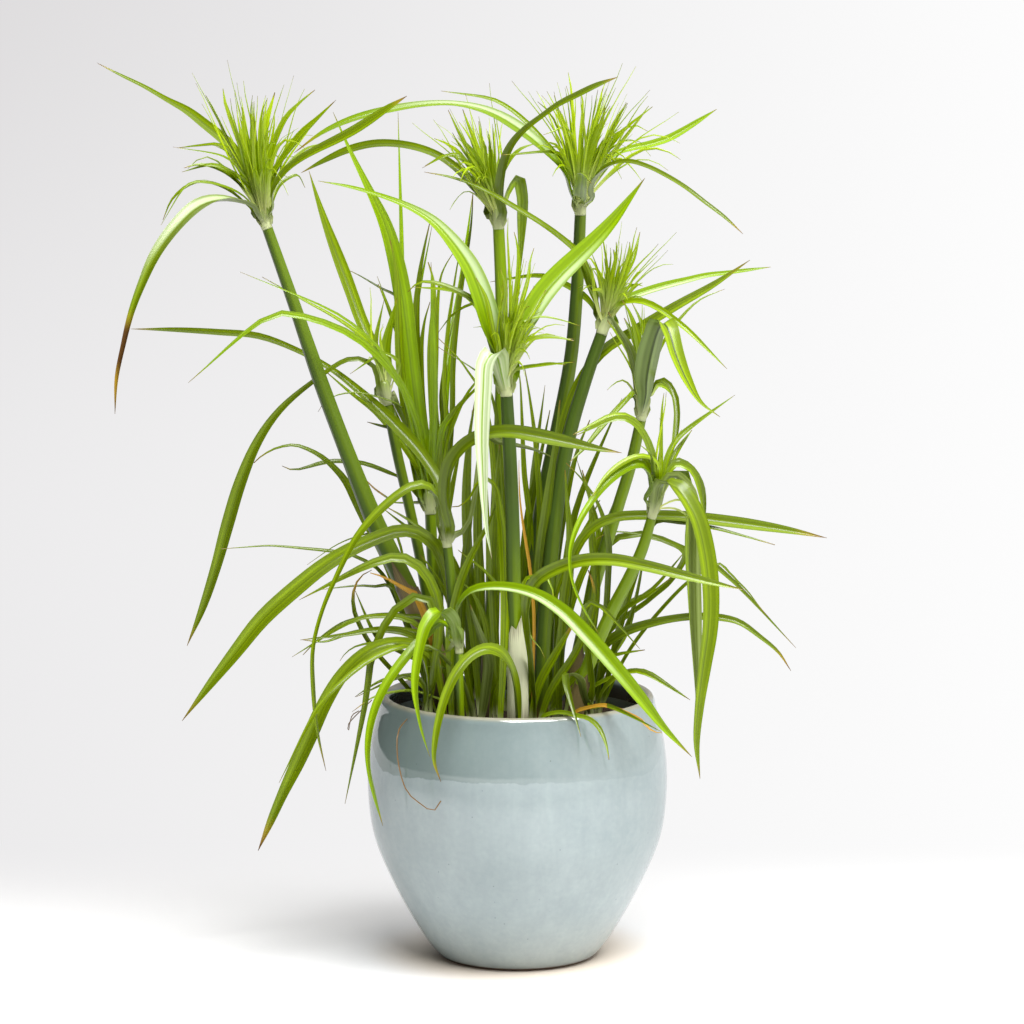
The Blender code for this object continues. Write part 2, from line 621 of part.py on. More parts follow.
# Each crown: its stem's name gives rays as (px, py, depth beyond the stem's top, width in px)
# and small bracts as (depth of tip, width in px, places from near the hub to the tip).
CROWNS = {
    "far_left": (
        [(193, 72, 10, 3), (229, 60, -10, 2), (247, 80, 20, 3), (282, 85, -15, 4),
         (293, 75, 15, 2), (308, 90, 0, 2), (193, 85, -20, 2), (254, 97, -35, 3),
         (232, 95, 35, 3), (200, 106, -35, 3), (278, 118, 45, 2), (215, 118, -25, 3),
         (240, 115, -50, 3), (268, 112, -55, 3), (310, 122, 25, 4), (292, 135, 20, 3)],
        [(-20, 5, [(254, 195), (243, 181), (229, 171), (212, 165), (195, 163), (182, 172)]),
         (-45, 2.5, [(250, 203), (235, 191), (215, 184), (195, 183), (175, 193), (161, 225)]),
         (-35, 2.5, [(252, 188), (236, 168), (216, 152), (197, 147), (173, 147)]),
         (5, 5, [(269, 195), (280, 163), (300, 138), (320, 115), (336, 100)])],
    ),
    "rear": (
        [(449, 108, 0, 4), (462, 94, 15, 2.5), (492, 83, 0, 2), (415, 120, -12, 2),
         (430, 122, -20, 2), (440, 138, -35, 2), (475, 118, -35, 3), (485, 118, 35, 3),
         (500, 112, 45, 3), (478, 130, 55, 3), (495, 132, -20, 3), (455, 135, -25, 3)],
        [(-25, 3, [(488, 196), (475, 172), (462, 157), (447, 153), (434, 158), (422, 168)]),
         (40, 13, [(505, 200), (509, 184), (516, 177), (521, 192), (521, 215), (521, 245),
                   (520, 275)])],
    ),
    "tall": (
        [(515, 79, 15, 2), (532, 90, -20, 2), (556, 82, 15, 3), (633, 65, 5, 2),
         (619, 62, -15, 2), (648, 88, -20, 2), (651, 97, -30, 3), (676, 109, -5, 2),
         (605, 92, 35, 4), (585, 95, -35, 4), (572, 98, 45, 4), (595, 100, -50, 4),
         (620, 105, 45, 3), (548, 105, -40, 3), (566, 115, -60, 3)],
        [(30, 5.5, [(569, 172), (556, 155), (541, 138), (529, 125), (513, 111), (495, 101),
                    (470, 93), (441, 91)]),
         (-50, 4, [(568, 166), (556, 153), (540, 152), (520, 153), (501, 155)]),
         (-70, 15, [(581, 192), (583, 180), (585, 172), (590, 171), (592, 184)])],
    ),
    "right_rear": (
        [(605, 232, 0, 6), (640, 228, 10, 4), (617, 256, -25, 4), (674, 231, -12, 2),
         (655, 242, -10, 3), (665, 250, -30, 2), (655, 255, -25, 3), (585, 264, -25, 5),
         (592, 245, -10, 3), (620, 222, 25, 2), (598, 240, 35, 3), (630, 240, -35, 3),
         (640, 262, 40, 3)],
        [(88, 7, [(596, 310), (588, 299), (575, 290), (558, 281), (537, 276), (515, 277),
                  (490, 282)]),
         (-45, 7, [(610, 313), (621, 304), (634, 301), (647, 303), (665, 313), (687, 330),
                   (709, 350), (727, 369)])],
    ),
    "centre": (
        [(512, 218, -5, 5), (500, 270, 5, 3), (507, 282, -12, 3), (521, 258, 10, 4),
         (533, 262, 20, 3), (545, 290, 5, 2.5), (490, 292, 20, 3), (530, 285, -30, 3),
         (520, 300, -22, 3), (535, 310, -20, 3), (505, 300, -18, 3), (498, 285, -10, 3)],
        [(10, 4, [(512, 352), (521, 342), (533, 337), (552, 338), (574, 339)]),
         (-30, 4, [(515, 371), (527, 367), (545, 365), (562, 365), (575, 362)]),
         (75, 8, [(494, 352), (488, 328), (478, 307), (466, 297), (452, 289), (437, 284),
                  (412, 287)])],
    ),
    "right": (
        [(626, 306, 5, 6), (640, 300, 20, 4), (648, 328, 30, 6), (612, 330, -25, 4)],
        [(-10, 8, [(639, 392), (636, 372), (629, 352), (621, 336), (607, 320)]),
         (12, 7, [(650, 396), (658, 384), (667, 386), (675, 400), (676, 420), (671, 452)]),
         (-35, 5, [(634, 393), (621, 407), (605, 426), (585, 447)])],
    ),
    "low_right": (
        [(663, 392, 5, 4)],
        [(-25, 8, [(654, 470), (650, 452), (643, 434), (633, 422), (620, 418), (605, 421),
                   (590, 427), (575, 436)]),
         (20, 6, [(664, 472), (670, 450), (680, 436), (692, 426), (711, 412), (735, 395)]),
         (5, 7, [(667, 474), (676, 464), (689, 469), (699, 484), (704, 500), (705, 519)]),
         (-5, 8, [(650, 476), (645, 461), (630, 459), (613, 470), (600, 485)]),
         (30, 10, [(668, 480), (678, 466), (687, 477), (690, 500), (688, 530), (689, 570),
                   (692, 610), (693, 650), (694, 685), (697, 712)])],
    ),
    "left": (
        [(366, 288, 20, 3)],
        [(15, 12, [(388, 372), (387, 345), (390, 318), (397, 298)]),
         (-5, 6, [(381, 372), (377, 348), (375, 322), (384, 300)]),
         (-5, 4, [(394, 378), (399, 364), (389, 355), (375, 356), (362, 362), (350, 374)])],
    ),
    "young": (
        [],
        [(-95, 8, [(424, 470), (421, 440), (412, 410), (400, 385), (386, 366), (370, 350),
                   (350, 334), (330, 325), (305, 318), (285, 316), (262, 319), (240, 329),
                   (222, 345), (208, 361), (188, 383)]),
         (-110, 3.5, [(420, 470), (410, 420), (397, 378), (381, 350), (357, 328), (330, 310),
                     (300, 296), (275, 284), (240, 272)]),
         (45, 6, [(427, 470), (420, 390), (416, 350), (416, 310), (420, 275), (432, 226)]),
         (75, 6, [(428, 470), (416, 400), (406, 340), (402, 280), (401, 240), (401, 190),
                  (398, 112)]),
         (90, 8, [(437, 470), (446, 400), (449, 355), (455, 320), (462, 280), (469, 240),
                  (473, 192)]),
         (60, 7, [(427, 480), (418, 400), (406, 352), (394, 318), (377, 276)]),
         (-20, 8, [(438, 475), (442, 440), (450, 414), (464, 396), (480, 383)]),
         (-25, 9, [(432, 480), (433, 420), (433, 380), (433, 330), (431, 262)])],
    ),
}

# Each shoot: where it grows from the soil (px, depth), and its leaves as in CROWNS.
SHOOTS = {
    "shoot_left": ((428, -22), [
        (-50, 12, [(433, 660), (438, 610), (430, 583), (418, 566), (403, 558), (385, 560),
                   (365, 566), (345, 575), (325, 587), (299, 600)]),
        (-38, 6, [(428, 650), (420, 627), (405, 619), (385, 616), (362, 618), (340, 627),
                 (318, 641), (292, 657)]),
        (-45, 7, [(424, 660), (414, 637), (395, 631), (375, 630), (352, 633), (330, 641),
                  (312, 644), (300, 640)]),
        (-26, 6, [(418, 660), (402, 652), (385, 644), (369, 628), (355, 608), (354, 588)])]),
    "shoot_left_front": ((427, -48), [
        (-46, 9, [(434, 650), (436, 610), (425, 596), (410, 597), (397, 608), (386, 624),
                  (376, 645), (370, 670), (366, 700), (363, 730), (360, 755), (352, 785),
                  (345, 804)]),
        (-110, 6, [(426, 670), (412, 646), (395, 649), (378, 656), (362, 665), (347, 677),
                   (333, 692), (318, 709), (303, 731), (288, 756), (279, 783)]),
        (-60, 5, [(420, 680), (405, 676), (388, 679), (372, 687), (356, 697)])]),
    "shoot_rear_left": ((478, 48), [
        (70, 10, [(474, 640), (468, 560), (466, 500), (468, 450), (472, 410)]),
        (60, 9, [(480, 640), (480, 560), (476, 500), (474, 460), (480, 425)]),
        (10, 9, [(470, 650), (458, 590), (440, 556), (415, 527), (395, 512), (380, 506)]),
        (85, 8, [(486, 640), (489, 560), (490, 500), (485, 450)])]),
    "shoot_rear_right": ((553, 55), [
        (80, 10, [(549, 640), (540, 570), (534, 500), (530, 450), (535, 410), (545, 385)]),
        (90, 9, [(556, 640), (553, 570), (548, 500), (552, 440), (560, 395), (568, 350)]),
        (85, 8, [(560, 640), (564, 590), (570, 540), (583, 490), (600, 430), (622, 398)]),
        (70, 8, [(562, 650), (573, 600), (588, 560), (600, 530), (590, 490), (577, 460)])]),
    "shoot_right": ((594, 36), [
        (50, 6, [(597, 660), (606, 625), (622, 607), (640, 597), (656, 587), (670, 573),
                 (688, 548)]),
        (40, 7, [(594, 640), (594, 590), (600, 553), (618, 536), (640, 534), (662, 540),
                 (690, 552), (717, 570), (745, 586), (768, 607), (796, 648)]),
        (62, 5, [(601, 670), (618, 648), (632, 618), (640, 588), (644, 553)])]),
    "shoot_right_front": ((596, -30), [
        (-85, 6, [(600, 700), (609, 684), (625, 673), (645, 673), (664, 683), (690, 700)]),
        (-115, 5, [(590, 700), (590, 707), (600, 705), (615, 708), (632, 717), (648, 726),
                   (662, 732)]),
        (-118, 9, [(585, 700), (575, 676), (567, 675), (569, 695), (574, 715), (581, 737)]),
        (-62, 7, [(593, 680), (586, 635), (588, 604), (603, 606), (618, 620), (629, 635),
                  (640, 649)])]),
}


def stem_points(name):
    """A stem's places from the soil up, and its width at each."""
    listed = STEMS[name]
    px, depth, width = listed[-1]
    foot = on_soil(px, depth)
    points = [foot, foot + Vector((0, 0, 0.012))]
    widths = [width * pixel_size(foot)] * 2
    for px, py, depth, width in reversed(listed[:-1]):
        points.append(seen(px, py, depth))
        widths.append(width * pixel_size(points[-1]))
    return points, widths


def stem_route(name):
    return Route(stem_points(name)[0])


def make_stem(name, parent):
    """A three-sided stem with rounded edges, cut level at the soil."""
    points, widths = stem_points(name)
    route = Route(points)
    reached = [route.far[index * Route.STEPS] / route.length for index in range(len(points))]
    width_at = list(zip(reached, widths))
    shares = route.stops(STEM_STOPS, bend_length=0.05)
    shape = bmesh.new()
    bmesh.ops.create_cone(
        shape, cap_ends=True, segments=6, radius1=1, radius2=1, depth=1,
        matrix=Matrix.Translation((0, 0, 0.5)),
    )
    for cut in range(1, STEM_STOPS):
        parts = shape.verts[:] + shape.edges[:] + shape.faces[:]
        bmesh.ops.bisect_plane(
            shape, geom=parts, plane_co=(0, 0, cut / STEM_STOPS), plane_no=(0, 0, 1),
        )
    flat_side = math.radians(20)
    for vert in shape.verts:
        share = shares[round(vert.co.z * STEM_STOPS)]
        angle = math.atan2(vert.co.y, vert.co.x)
        heading = route.heading(share) if share > 0 else UP
        across = square_to(RIGHT, heading)
        behind = heading.cross(across)
        width = mix_list(width_at, share)
        corner = round(angle / math.radians(60))
        radius = STEM_FULLNESS * 0.5 * width * (1.0 if corner % 2 else 0.84)
        turn = angle + flat_side
        vert.co = route.at(share) + (across * math.cos(turn) + behind * math.sin(turn)) * radius
    return place("stem_" + name, shape, "stem", parent, points[0])


def stem_end(name):
    """The top of a stem and the way it points there."""
    route = stem_route(name)
    return route.at(1), route.heading(1, reach=0.03)


def bract_leaf(spec):
    stem, around, tip_depth, turn, places = spec
    top, heading = stem_end(stem)
    angle = math.radians(around)
    outward = square_to(Vector((math.cos(angle), math.sin(angle), 0)), heading)
    foot = top + outward * BRACT_RING_RADIUS + heading * (2 * MM)
    start = (STEMS[stem][0][0], STEMS[stem][0][1], foot)
    rise = (heading * 0.8 + outward * 0.6).normalized() * (5 * MM)
    depths = (foot.y / MM, tip_depth)
    return Leaf(start, places, depths, turn, foot=rise, first_face=-outward)


def basal_leaf(spec):
    (px, depth), tip_depth, turn, places = spec
    foot = on_soil(px, depth)
    start = (px, places[0][1] + 20, foot)
    leaf = Leaf(start, places, (depth, tip_depth), turn, foot=Vector((0, 0, 0.014)))
    leaf.shares = leaf.route.stops(BLADE_STOPS + 2)
    return leaf


def level_foot(made, leaf):
    """Make a leaf's first ring level just above the soil."""
    start = leaf.route.at(0) - made.location
    for vert in made.data.vertices:
        if (vert.co - start).length < leaf.half_width(0) + 1 * MM:
            vert.co.z = SOIL_TOP + GAP - made.location.z


def hub(centre, radius):
    """A small round hub with rows of four-sided faces to grow rays from."""
    shape = bmesh.new()
    bmesh.ops.create_uvsphere(
        shape, u_segments=8, v_segments=7, radius=radius, matrix=Matrix.Translation(centre),
    )
    return shape


def matched_faces(shape, aims):
    """For each aim, the centre of a hub face of its own, so that the rays don't cross."""
    faces = [face for face in shape.faces if len(face.verts) == 4]
    spots = [face.calc_center_median() for face in faces]
    normals = [face.normal.copy() for face in faces]
    order = []
    for aim in aims:
        free = [index for index in range(len(faces)) if index not in order]
        order.append(max(free, key=lambda index: normals[index].dot(aim)))
    spare = [index for index in range(len(faces)) if index not in order]
    improved = True
    while improved:
        improved = False
        for one, aim in enumerate(aims):
            for place_in_spare, index in enumerate(spare):
                if normals[index].dot(aim) > normals[order[one]].dot(aim) + 1e-6:
                    order[one], spare[place_in_spare] = index, order[one]
                    improved = True
            for two in range(one):
                now = normals[order[one]].dot(aim) + normals[order[two]].dot(aims[two])
                other = normals[order[two]].dot(aim) + normals[order[one]].dot(aims[two])
                if other > now + 1e-6:
                    order[one], order[two] = order[two], order[one]
                    improved = True
    return [spots[index] for index in order]


def face_at(shape, spot):
    """The four-sided face of a hub at a place."""
    sided = [face for face in shape.faces if len(face.verts) == 4]
    return min(sided, key=lambda face: (face.calc_center_median() - spot).length)


def grow(shape, face, rings, tip):
    """Extrude a face through rings of four corners and close it at a tip."""
    placed = []
    for number, ring in enumerate(rings):
        made = bmesh.ops.extrude_discrete_faces(shape, faces=[face])
        face = made["faces"][0]
        verts = [loop.vert for loop in face.loops]
        if number == 0:
            turns = []
            for turn in range(4):
                order = ring[turn:] + ring[:turn]
                turns.append((sum((v.co - c).length for v, c in zip(verts, order)), turn))
            turn = min(turns)[1]
        order = ring[turn:] + ring[:turn]
        for vert, corner in zip(verts, order):
            vert.co = corner
        placed.append(verts[-turn:] + verts[:-turn] if turn else verts)
    bmesh.ops.pointmerge(shape, verts=list(face.verts), merge_co=tip)
    for lower, upper in zip(placed, placed[1:-1]):
        split_sides(lower, upper)


def ray_rings(start, tip, width, lean, stops):
    """The rings of one fine ray, which leans out a little more toward its tip."""
    middle = start.lerp(tip, 0.55) + lean
    route = Route([start, middle, tip])
    rings = []
    for number in range(1, stops + 1):
        share = number / (stops + 1)
        half = max(0.4 * width * (1 - 0.5 * share), 0.35 * MM)
        heading = route.heading(share)
        face = leaf_face(heading, math.radians(20), 1)
        rings.append(leaf_ring(route.at(share), heading, face, half, half * 0.5))
    return rings, route.at(1)


def small_leaf_rings(start, base_depth, spec):
    tip_depth, width, places = spec
    pixels = [(px, py, 0) for px, py in places]
    leaf = Leaf((places[0][0], places[0][1] + 12, start), pixels, (base_depth, tip_depth), 20)
    count = max(3, min(8, len(places)))
    rings = []
    for share in leaf.route.stops(count)[1:-1]:
        fill = min(1.0, 0.45 + 2 * share) * (1 - share**3) ** 0.8
        half = max(0.5 * width * fill * pixel_size(start), 0.4 * MM)
        heading = leaf.route.heading(share)
        thick = min(0.5 * MIDRIB_THICKNESS, half * 0.6)
        rings.append(leaf_ring(leaf.route.at(share), heading, leaf.face(share), half, thick))
    return rings, leaf.route.at(1)


def grow_all(shape, centre, rays, leaves):
    """Grow small leaves and fine rays out of a hub, each from a face of its own."""
    base_depth = centre.y / MM
    aims = []
    for tip_beyond, _, places in leaves:
        near = places[min(1, len(places) - 1)]
        aims.append((seen(*near, base_depth + 0.3 * tip_beyond) - centre).normalized())
    tips = [seen(px, py, base_depth + beyond) for px, py, beyond, _ in rays]
    aims += [(tip - centre).normalized() for tip in tips]
    spots = matched_faces(shape, aims)
    for (tip_beyond, width, places), spot in zip(leaves, spots):
        face = face_at(shape, spot)
        start = spot + face.normal * (1 * MM)
        rings, tip = small_leaf_rings(start, base_depth, (base_depth + tip_beyond, width, places))
        grow(shape, face, rings, tip)
    for (_, _, _, width), tip, spot in zip(rays, tips, spots[len(leaves):]):
        face = face_at(shape, spot)
        lean = square_to(UP, (tip - centre).normalized()) * (4 * MM)
        rings, tip = ray_rings(spot, tip, width * pixel_size(tip), lean, 2)
        grow(shape, face, rings, tip)


def make_crown(stem, parent):
    rays, leaves = CROWNS[stem]
    top, heading = stem_end(stem)
    centre = top + heading * (HUB_RADIUS + 2 * GAP)
    shape = hub(centre, HUB_RADIUS)
    grow_all(shape, centre, rays, leaves)
    return place("crown_" + stem, shape, "rays", parent, centre)


def make_shoot(name, parent):
    (px, depth), leaves = SHOOTS[name]
    foot = on_soil(px, depth)
    radius = 5.5 * MM
    centre = foot + Vector((0, 0, radius))
    shape = hub(centre, radius)
    grow_all(shape, centre, [], [(tip_depth - depth, *rest) for tip_depth, *rest in leaves])
    return place(name, shape, "leaf", parent, centre)


def clear_scene():
    for old in list(bpy.data.objects):
        bpy.data.objects.remove(old, do_unlink=True)


def main():
    clear_scene()
    plant = bpy.data.objects.new("plant", None)
    collection().objects.link(plant)
    make_pot(plant)
    make_soil(plant)
    for name in STEMS:
        make_stem(name, plant)
    for name, spec in BRACTS.items():
        make_blade(name, bract_leaf(spec), plant)
    for name, spec in BASAL_LEAVES.items():
        leaf = basal_leaf(spec)
        level_foot(make_blade(name, leaf, plant), leaf)
    for name in CROWNS:
        make_crown(name, plant)
    for name in SHOOTS:
        make_shoot(name, plant)


main()
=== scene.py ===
# %% [markdown]
# # A potted papyrus plant
#
# The object is a young papyrus in a glazed stoneware cover pot. Papyrus is a sedge: it has no branches.
# Three-sided stems rise straight from the root, and each one ends in a head, which is a ring of long leaves
# called bracts and, inside the ring, a tuft of fine rays. Long grass-like leaves also grow from the soil.
#
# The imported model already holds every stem, every large leaf, the tufts, the soil and the pot at their real
# places, but with few faces. The steps below measure those solids, put a finer, better shaped and better
# coloured piece exactly where each one stands, and add what was too fine for them.

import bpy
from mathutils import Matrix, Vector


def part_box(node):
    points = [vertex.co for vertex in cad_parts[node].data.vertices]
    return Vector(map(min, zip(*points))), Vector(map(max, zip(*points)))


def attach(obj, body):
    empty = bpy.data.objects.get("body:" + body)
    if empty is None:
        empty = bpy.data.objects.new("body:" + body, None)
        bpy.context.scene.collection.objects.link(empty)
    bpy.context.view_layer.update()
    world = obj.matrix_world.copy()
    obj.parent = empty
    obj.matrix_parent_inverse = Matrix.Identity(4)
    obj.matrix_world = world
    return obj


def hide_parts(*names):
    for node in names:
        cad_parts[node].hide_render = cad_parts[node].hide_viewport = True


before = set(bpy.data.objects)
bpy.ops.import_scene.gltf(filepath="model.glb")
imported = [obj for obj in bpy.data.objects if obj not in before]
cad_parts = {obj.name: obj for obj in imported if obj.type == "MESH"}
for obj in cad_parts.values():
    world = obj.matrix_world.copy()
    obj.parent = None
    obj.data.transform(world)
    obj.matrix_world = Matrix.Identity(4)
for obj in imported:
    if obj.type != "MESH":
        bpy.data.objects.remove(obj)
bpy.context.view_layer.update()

# %% Modules
import math
import random

import bmesh
import bpy
from mathutils import Vector

MM = 0.001
dice = random.Random(8)

# %% [markdown]
# ## The camera
#
# The photograph is a product shot from a little above the plant's top, looking slightly down, with a long
# lens that keeps the perspective weak. The lens and the place were found from the pot: its rim and foot are
# seen as ellipses, and how round they look gives the height of the eye.

# %% Camera
EYE = Vector((-0.004, -2.8, 0.72))
LOOKS_DOWN = math.radians(7.94)
FRAME_PIXELS = 1024
FOCAL_PIXELS = 3866

bpy.ops.object.select_all(action="DESELECT")
bpy.ops.object.camera_add(location=EYE, rotation=(math.pi / 2 - LOOKS_DOWN, 0, 0))
camera = bpy.context.object
camera.data.sensor_width = 36
camera.data.lens = FOCAL_PIXELS / FRAME_PIXELS * camera.data.sensor_width
camera.data.clip_end = 200
bpy.context.scene.camera = camera
print("lens", round(camera.data.lens, 1), "mm")

# %% A place in the photograph
FORWARD = Vector((0, math.cos(LOOKS_DOWN), -math.sin(LOOKS_DOWN)))
UPWARD = Vector((0, math.sin(LOOKS_DOWN), math.cos(LOOKS_DOWN)))


def seen(px, py, behind):
    """The point seen at a pixel, so many millimetres behind the pot's axis."""
    middle = FRAME_PIXELS / 2
    sight = FORWARD + Vector((px - middle, 0, 0)) / FOCAL_PIXELS + UPWARD * (middle - py) / FOCAL_PIXELS
    return EYE + sight * ((behind * MM - EYE.y) / sight.y)


# %% [markdown]
# ## Measuring the solids
#
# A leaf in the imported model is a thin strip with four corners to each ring: two edges, the midrib's top and
# the midrib's underside. It ends in a point. From that point the rings can be walked one after another down
# to the foot, and every ring says where the leaf is, how wide it is and which way its upper side faces.

# %% Walking a leaf from its tip
def welded(node):
    """A copy of a solid's mesh with its triangles joined at their corners."""
    shape = bmesh.new()
    shape.from_mesh(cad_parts[node].data)
    bmesh.ops.remove_doubles(shape, verts=shape.verts, dist=3e-6)
    return shape


def next_ring(ring, passed):
    """The corners one step further on from a ring, away from those already passed."""
    found = set()
    for corner in ring:
        for edge in corner.link_edges:
            found.add(edge.other_vert(corner))
    return found - passed


def is_tip(corner):
    """True where four edges leave a corner in nearly the same direction."""
    if len(corner.link_edges) != 4:
        return False
    ways = [(edge.other_vert(corner).co - corner.co).normalized() for edge in corner.link_edges]
    return all(one.dot(ways[0]) > 0.75 for one in ways)


def walked(tip):
    """The rings of four corners from a tip to the foot, as lists of places."""
    passed = {tip}
    ring = next_ring([tip], passed)
    rings = []
    while len(ring) == 4:
        passed |= ring
        rings.append([corner.co.copy() for corner in ring])
        ring = next_ring(ring, passed)
    return rings


# %% What a ring says
def read_ring(corners, last_across):
    """The midrib's place, the way across, half the width and the upper side's direction."""
    pairs = [(0, 1, 2, 3), (0, 2, 1, 3), (0, 3, 1, 2), (1, 2, 0, 3), (1, 3, 0, 2), (2, 3, 0, 1)]
    a, b, c, d = max(pairs, key=lambda pair: (corners[pair[0]] - corners[pair[1]]).length)
    across = corners[a] - corners[b]
    half_width = across.length / 2
    across.normalize()
    if last_across is not None and across.dot(last_across) < 0:
        across = -across
    midrib = (corners[c] + corners[d]) / 2
    face = (corners[a] + corners[b]) / 2 - midrib
    return midrib, across, half_width, face


# %% [markdown]
# ## A leaf's course
#
# A real leaf is one smooth curve, so the measured stops are joined by a curve that passes through all of
# them. A point on the leaf is then given by three shares: how far across, how far along and how deep.

# %% The leaf's course
GUTTER = 0.5  # how far a blade's edges rise above its midrib, in half widths
FINEST = 0.12 * MM  # half the width of the finest tip


def through(values, place):
    """A smooth curve's value at a place between stops, for numbers or vectors."""
    last = len(values) - 1
    place = min(max(place, 0.0), last)
    stop = min(int(place), last - 1)
    t = place - stop
    before, start, end, after = (values[min(max(stop + k, 0), last)] for k in (-1, 0, 1, 2))
    if stop == 0:
        before = start + (start - end)
    if stop == last - 1:
        after = end + (end - start)
    lead = (start * 2) + (end - before) * t
    bend = (before * 2 - start * 5 + end * 4 - after) * (t * t)
    turn = (start * 3 - before - end * 3 + after) * (t * t * t)
    return (lead + bend + turn) * 0.5


def eased(share):
    """A share from 0 to 1 that starts and ends gently."""
    share = min(max(share, 0.0), 1.0)
    return share * share * (3 - 2 * share)


class Course:
    """A leaf's line from foot to tip, with half its width and its upper side's direction at each stop."""

    def __init__(self, spots, widths, faces):
        self.spots, self.widths, self.faces = spots, widths, faces
        gone = [0.0]
        for one, two in zip(spots, spots[1:]):
            gone.append(gone[-1] + (two - one).length)
        self.gone = [value / gone[-1] for value in gone]
        self.length = gone[-1]
        self.kept = {}

    def stop_at(self, share):
        """The stop number, with its fraction, that lies at a share of the length."""
        for stop in range(len(self.gone) - 1):
            if share <= self.gone[stop + 1] or stop == len(self.gone) - 2:
                step = self.gone[stop + 1] - self.gone[stop]
                return stop + (share - self.gone[stop]) / max(step, 1e-9)
        return 0.0

    def at(self, share):
        """The place, the way across, the upper side's direction and half the width at a share."""
        share = round(share, 4)
        if share not in self.kept:
            stop = self.stop_at(share)
            spot = through(self.spots, stop)
            ahead = through(self.spots, min(stop + 0.05, len(self.spots) - 1))
            behind = through(self.spots, max(stop - 0.05, 0))
            heading = (ahead - behind).normalized()
            face = through(self.faces, stop)
            face = (face - heading * face.dot(heading)).normalized()
            across = heading.cross(face)
            self.kept[share] = spot, across, face, max(through(self.widths, stop), FINEST)
        return self.kept[share]

    def point(self, aside, share, deep, midrib, edge):
        """A point from shares: aside -1 to 1, share of the length, deep 0 (top) to -1.

        Midrib and edge are how thick the blade is there at its foot.
        """
        spot, across, face, half_width = self.at(share)
        thick = (midrib + (edge - midrib) * min(abs(aside) * 1.6, 1)) * (1 - 0.5 * share)
        thick = min(thick, half_width * 0.8)
        lift = half_width * GUTTER * abs(aside) ** 1.15
        return spot + across * (aside * half_width) + face * (lift + (deep + 0.5) * thick)


# %% Courses read from a solid
def courses_in(node):
    """Every leaf or ray of a solid as a course from its foot to its tip."""
    shape = welded(node)
    found = []
    for tip in [corner for corner in shape.verts if is_tip(corner)]:
        spots, widths, faces = [tip.co.copy()], [0.1 * MM], []
        last_across = None
        for ring in walked(tip):
            midrib, across, half_width, face = read_ring(ring, last_across)
            last_across = across
            spots.append(midrib)
            widths.append(half_width)
            faces.append(face.normalized() if face.length > 1e-7 else Vector((0, 0, 1)))
        if len(spots) < 3:
            continue
        faces.insert(0, faces[0])
        found.append(Course(spots[::-1], widths[::-1], faces[::-1]))
    shape.free()
    return found


leaf_nodes = sorted(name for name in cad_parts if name.startswith(("bract_", "leaf_")))
crown_nodes = sorted(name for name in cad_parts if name.startswith("crown_"))
shoot_nodes = sorted(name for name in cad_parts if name.startswith("shoot_"))
stem_nodes = sorted(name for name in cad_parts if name.startswith("stem_"))
print(len(leaf_nodes), "large leaves,", len(crown_nodes), "crowns,", len(shoot_nodes), "shoots")

# %% [markdown]
# ## Colours and nodes
#
# Colours are written as they would be picked on a screen and turned to the linear values that light works
# in. Every material is a small tree of nodes, so one short function adds a node, sets it and links it. A
# kind such as Math does nothing until its main setting is chosen, so that is written beside the kind.

# %% A colour and a node
MAIN_SETTINGS = {"Math": "operation", "VectorMath": "operation", "Mix": "data_type",
                 "MapRange": "interpolation_type", "Attribute": "attribute_name"}


def linear(colour):
    """A screen colour such as #8fae2a as linear red, green, blue and alpha."""
    parts = [int(colour[k:k + 2], 16) / 255 for k in (1, 3, 5)]
    return [part / 12.92 if part <= 0.04045 else ((part + 0.055) / 1.055) ** 2.4 for part in parts] + [1]


def add(tree, kind, *shown, clamp=False, **named):
    """Add a node. Its inputs are given in the order in which it shows them, or by name.

    A socket is linked, and a node is linked from its first output. A colour or a number is set.
    """
    kind, *setting = kind.split()
    made = tree.nodes.new("ShaderNode" + kind)
    for value in setting:
        setattr(made, MAIN_SETTINGS[kind], value)
    if clamp:
        made.use_clamp = True
    given = list(zip([socket for socket in made.inputs if socket.enabled], shown))
    given += [(made.inputs[name.replace("_", " ")], value) for name, value in named.items()]
    for socket, value in given:
        if isinstance(value, bpy.types.Node):
            value = next(output for output in value.outputs if output.enabled)
        if isinstance(value, bpy.types.NodeSocket):
            tree.links.new(value, socket)
        else:
            socket.default_value = linear(value) if isinstance(value, str) else value
    return made


def new_tree(name):
    """An empty material and its tree."""
    made = bpy.data.materials.new(name)
    made.use_nodes = True
    made.node_tree.nodes.clear()
    return made, made.node_tree


print("a leaf green is", [round(part, 3) for part in linear("#8fae2a")])

# %% [markdown]
# ## The leaves' finish
#
# A papyrus leaf is living tissue under a thin coat of wax. The wax gives the long white gloss, the parallel
# veins give a fine ribbing, and light shines through, which makes the leaf glow yellow-green. Young leaves
# are more yellow, old ones darker and duller, the underside is greyer, the foot is pale where no light
# reached it, and a dry tip turns gold and then brown. The crease along the midrib and one half of the blade
# are darkened with painted shade, and on some leaves the gloss is also painted in as a painted highlight.
# The real veins are under 1 mm apart, which is too fine to show, so they are drawn 2 to 5 mm apart.
#
# Each leaf carries two attributes for this: "blade" is the place on the leaf (across, along, length in
# metres) and "mood" is how young, how dry, whether it is the underside and how wide the leaf is there.

# %% Leaf finish
# The first white is the painted highlight's, the others are a dry tip's gold and brown.
PAINTED_GLOSS_WHITE, DRY_GOLD, DRY_BROWN = "#f2ffdc", "#bf9a2c", "#5b3a1c"


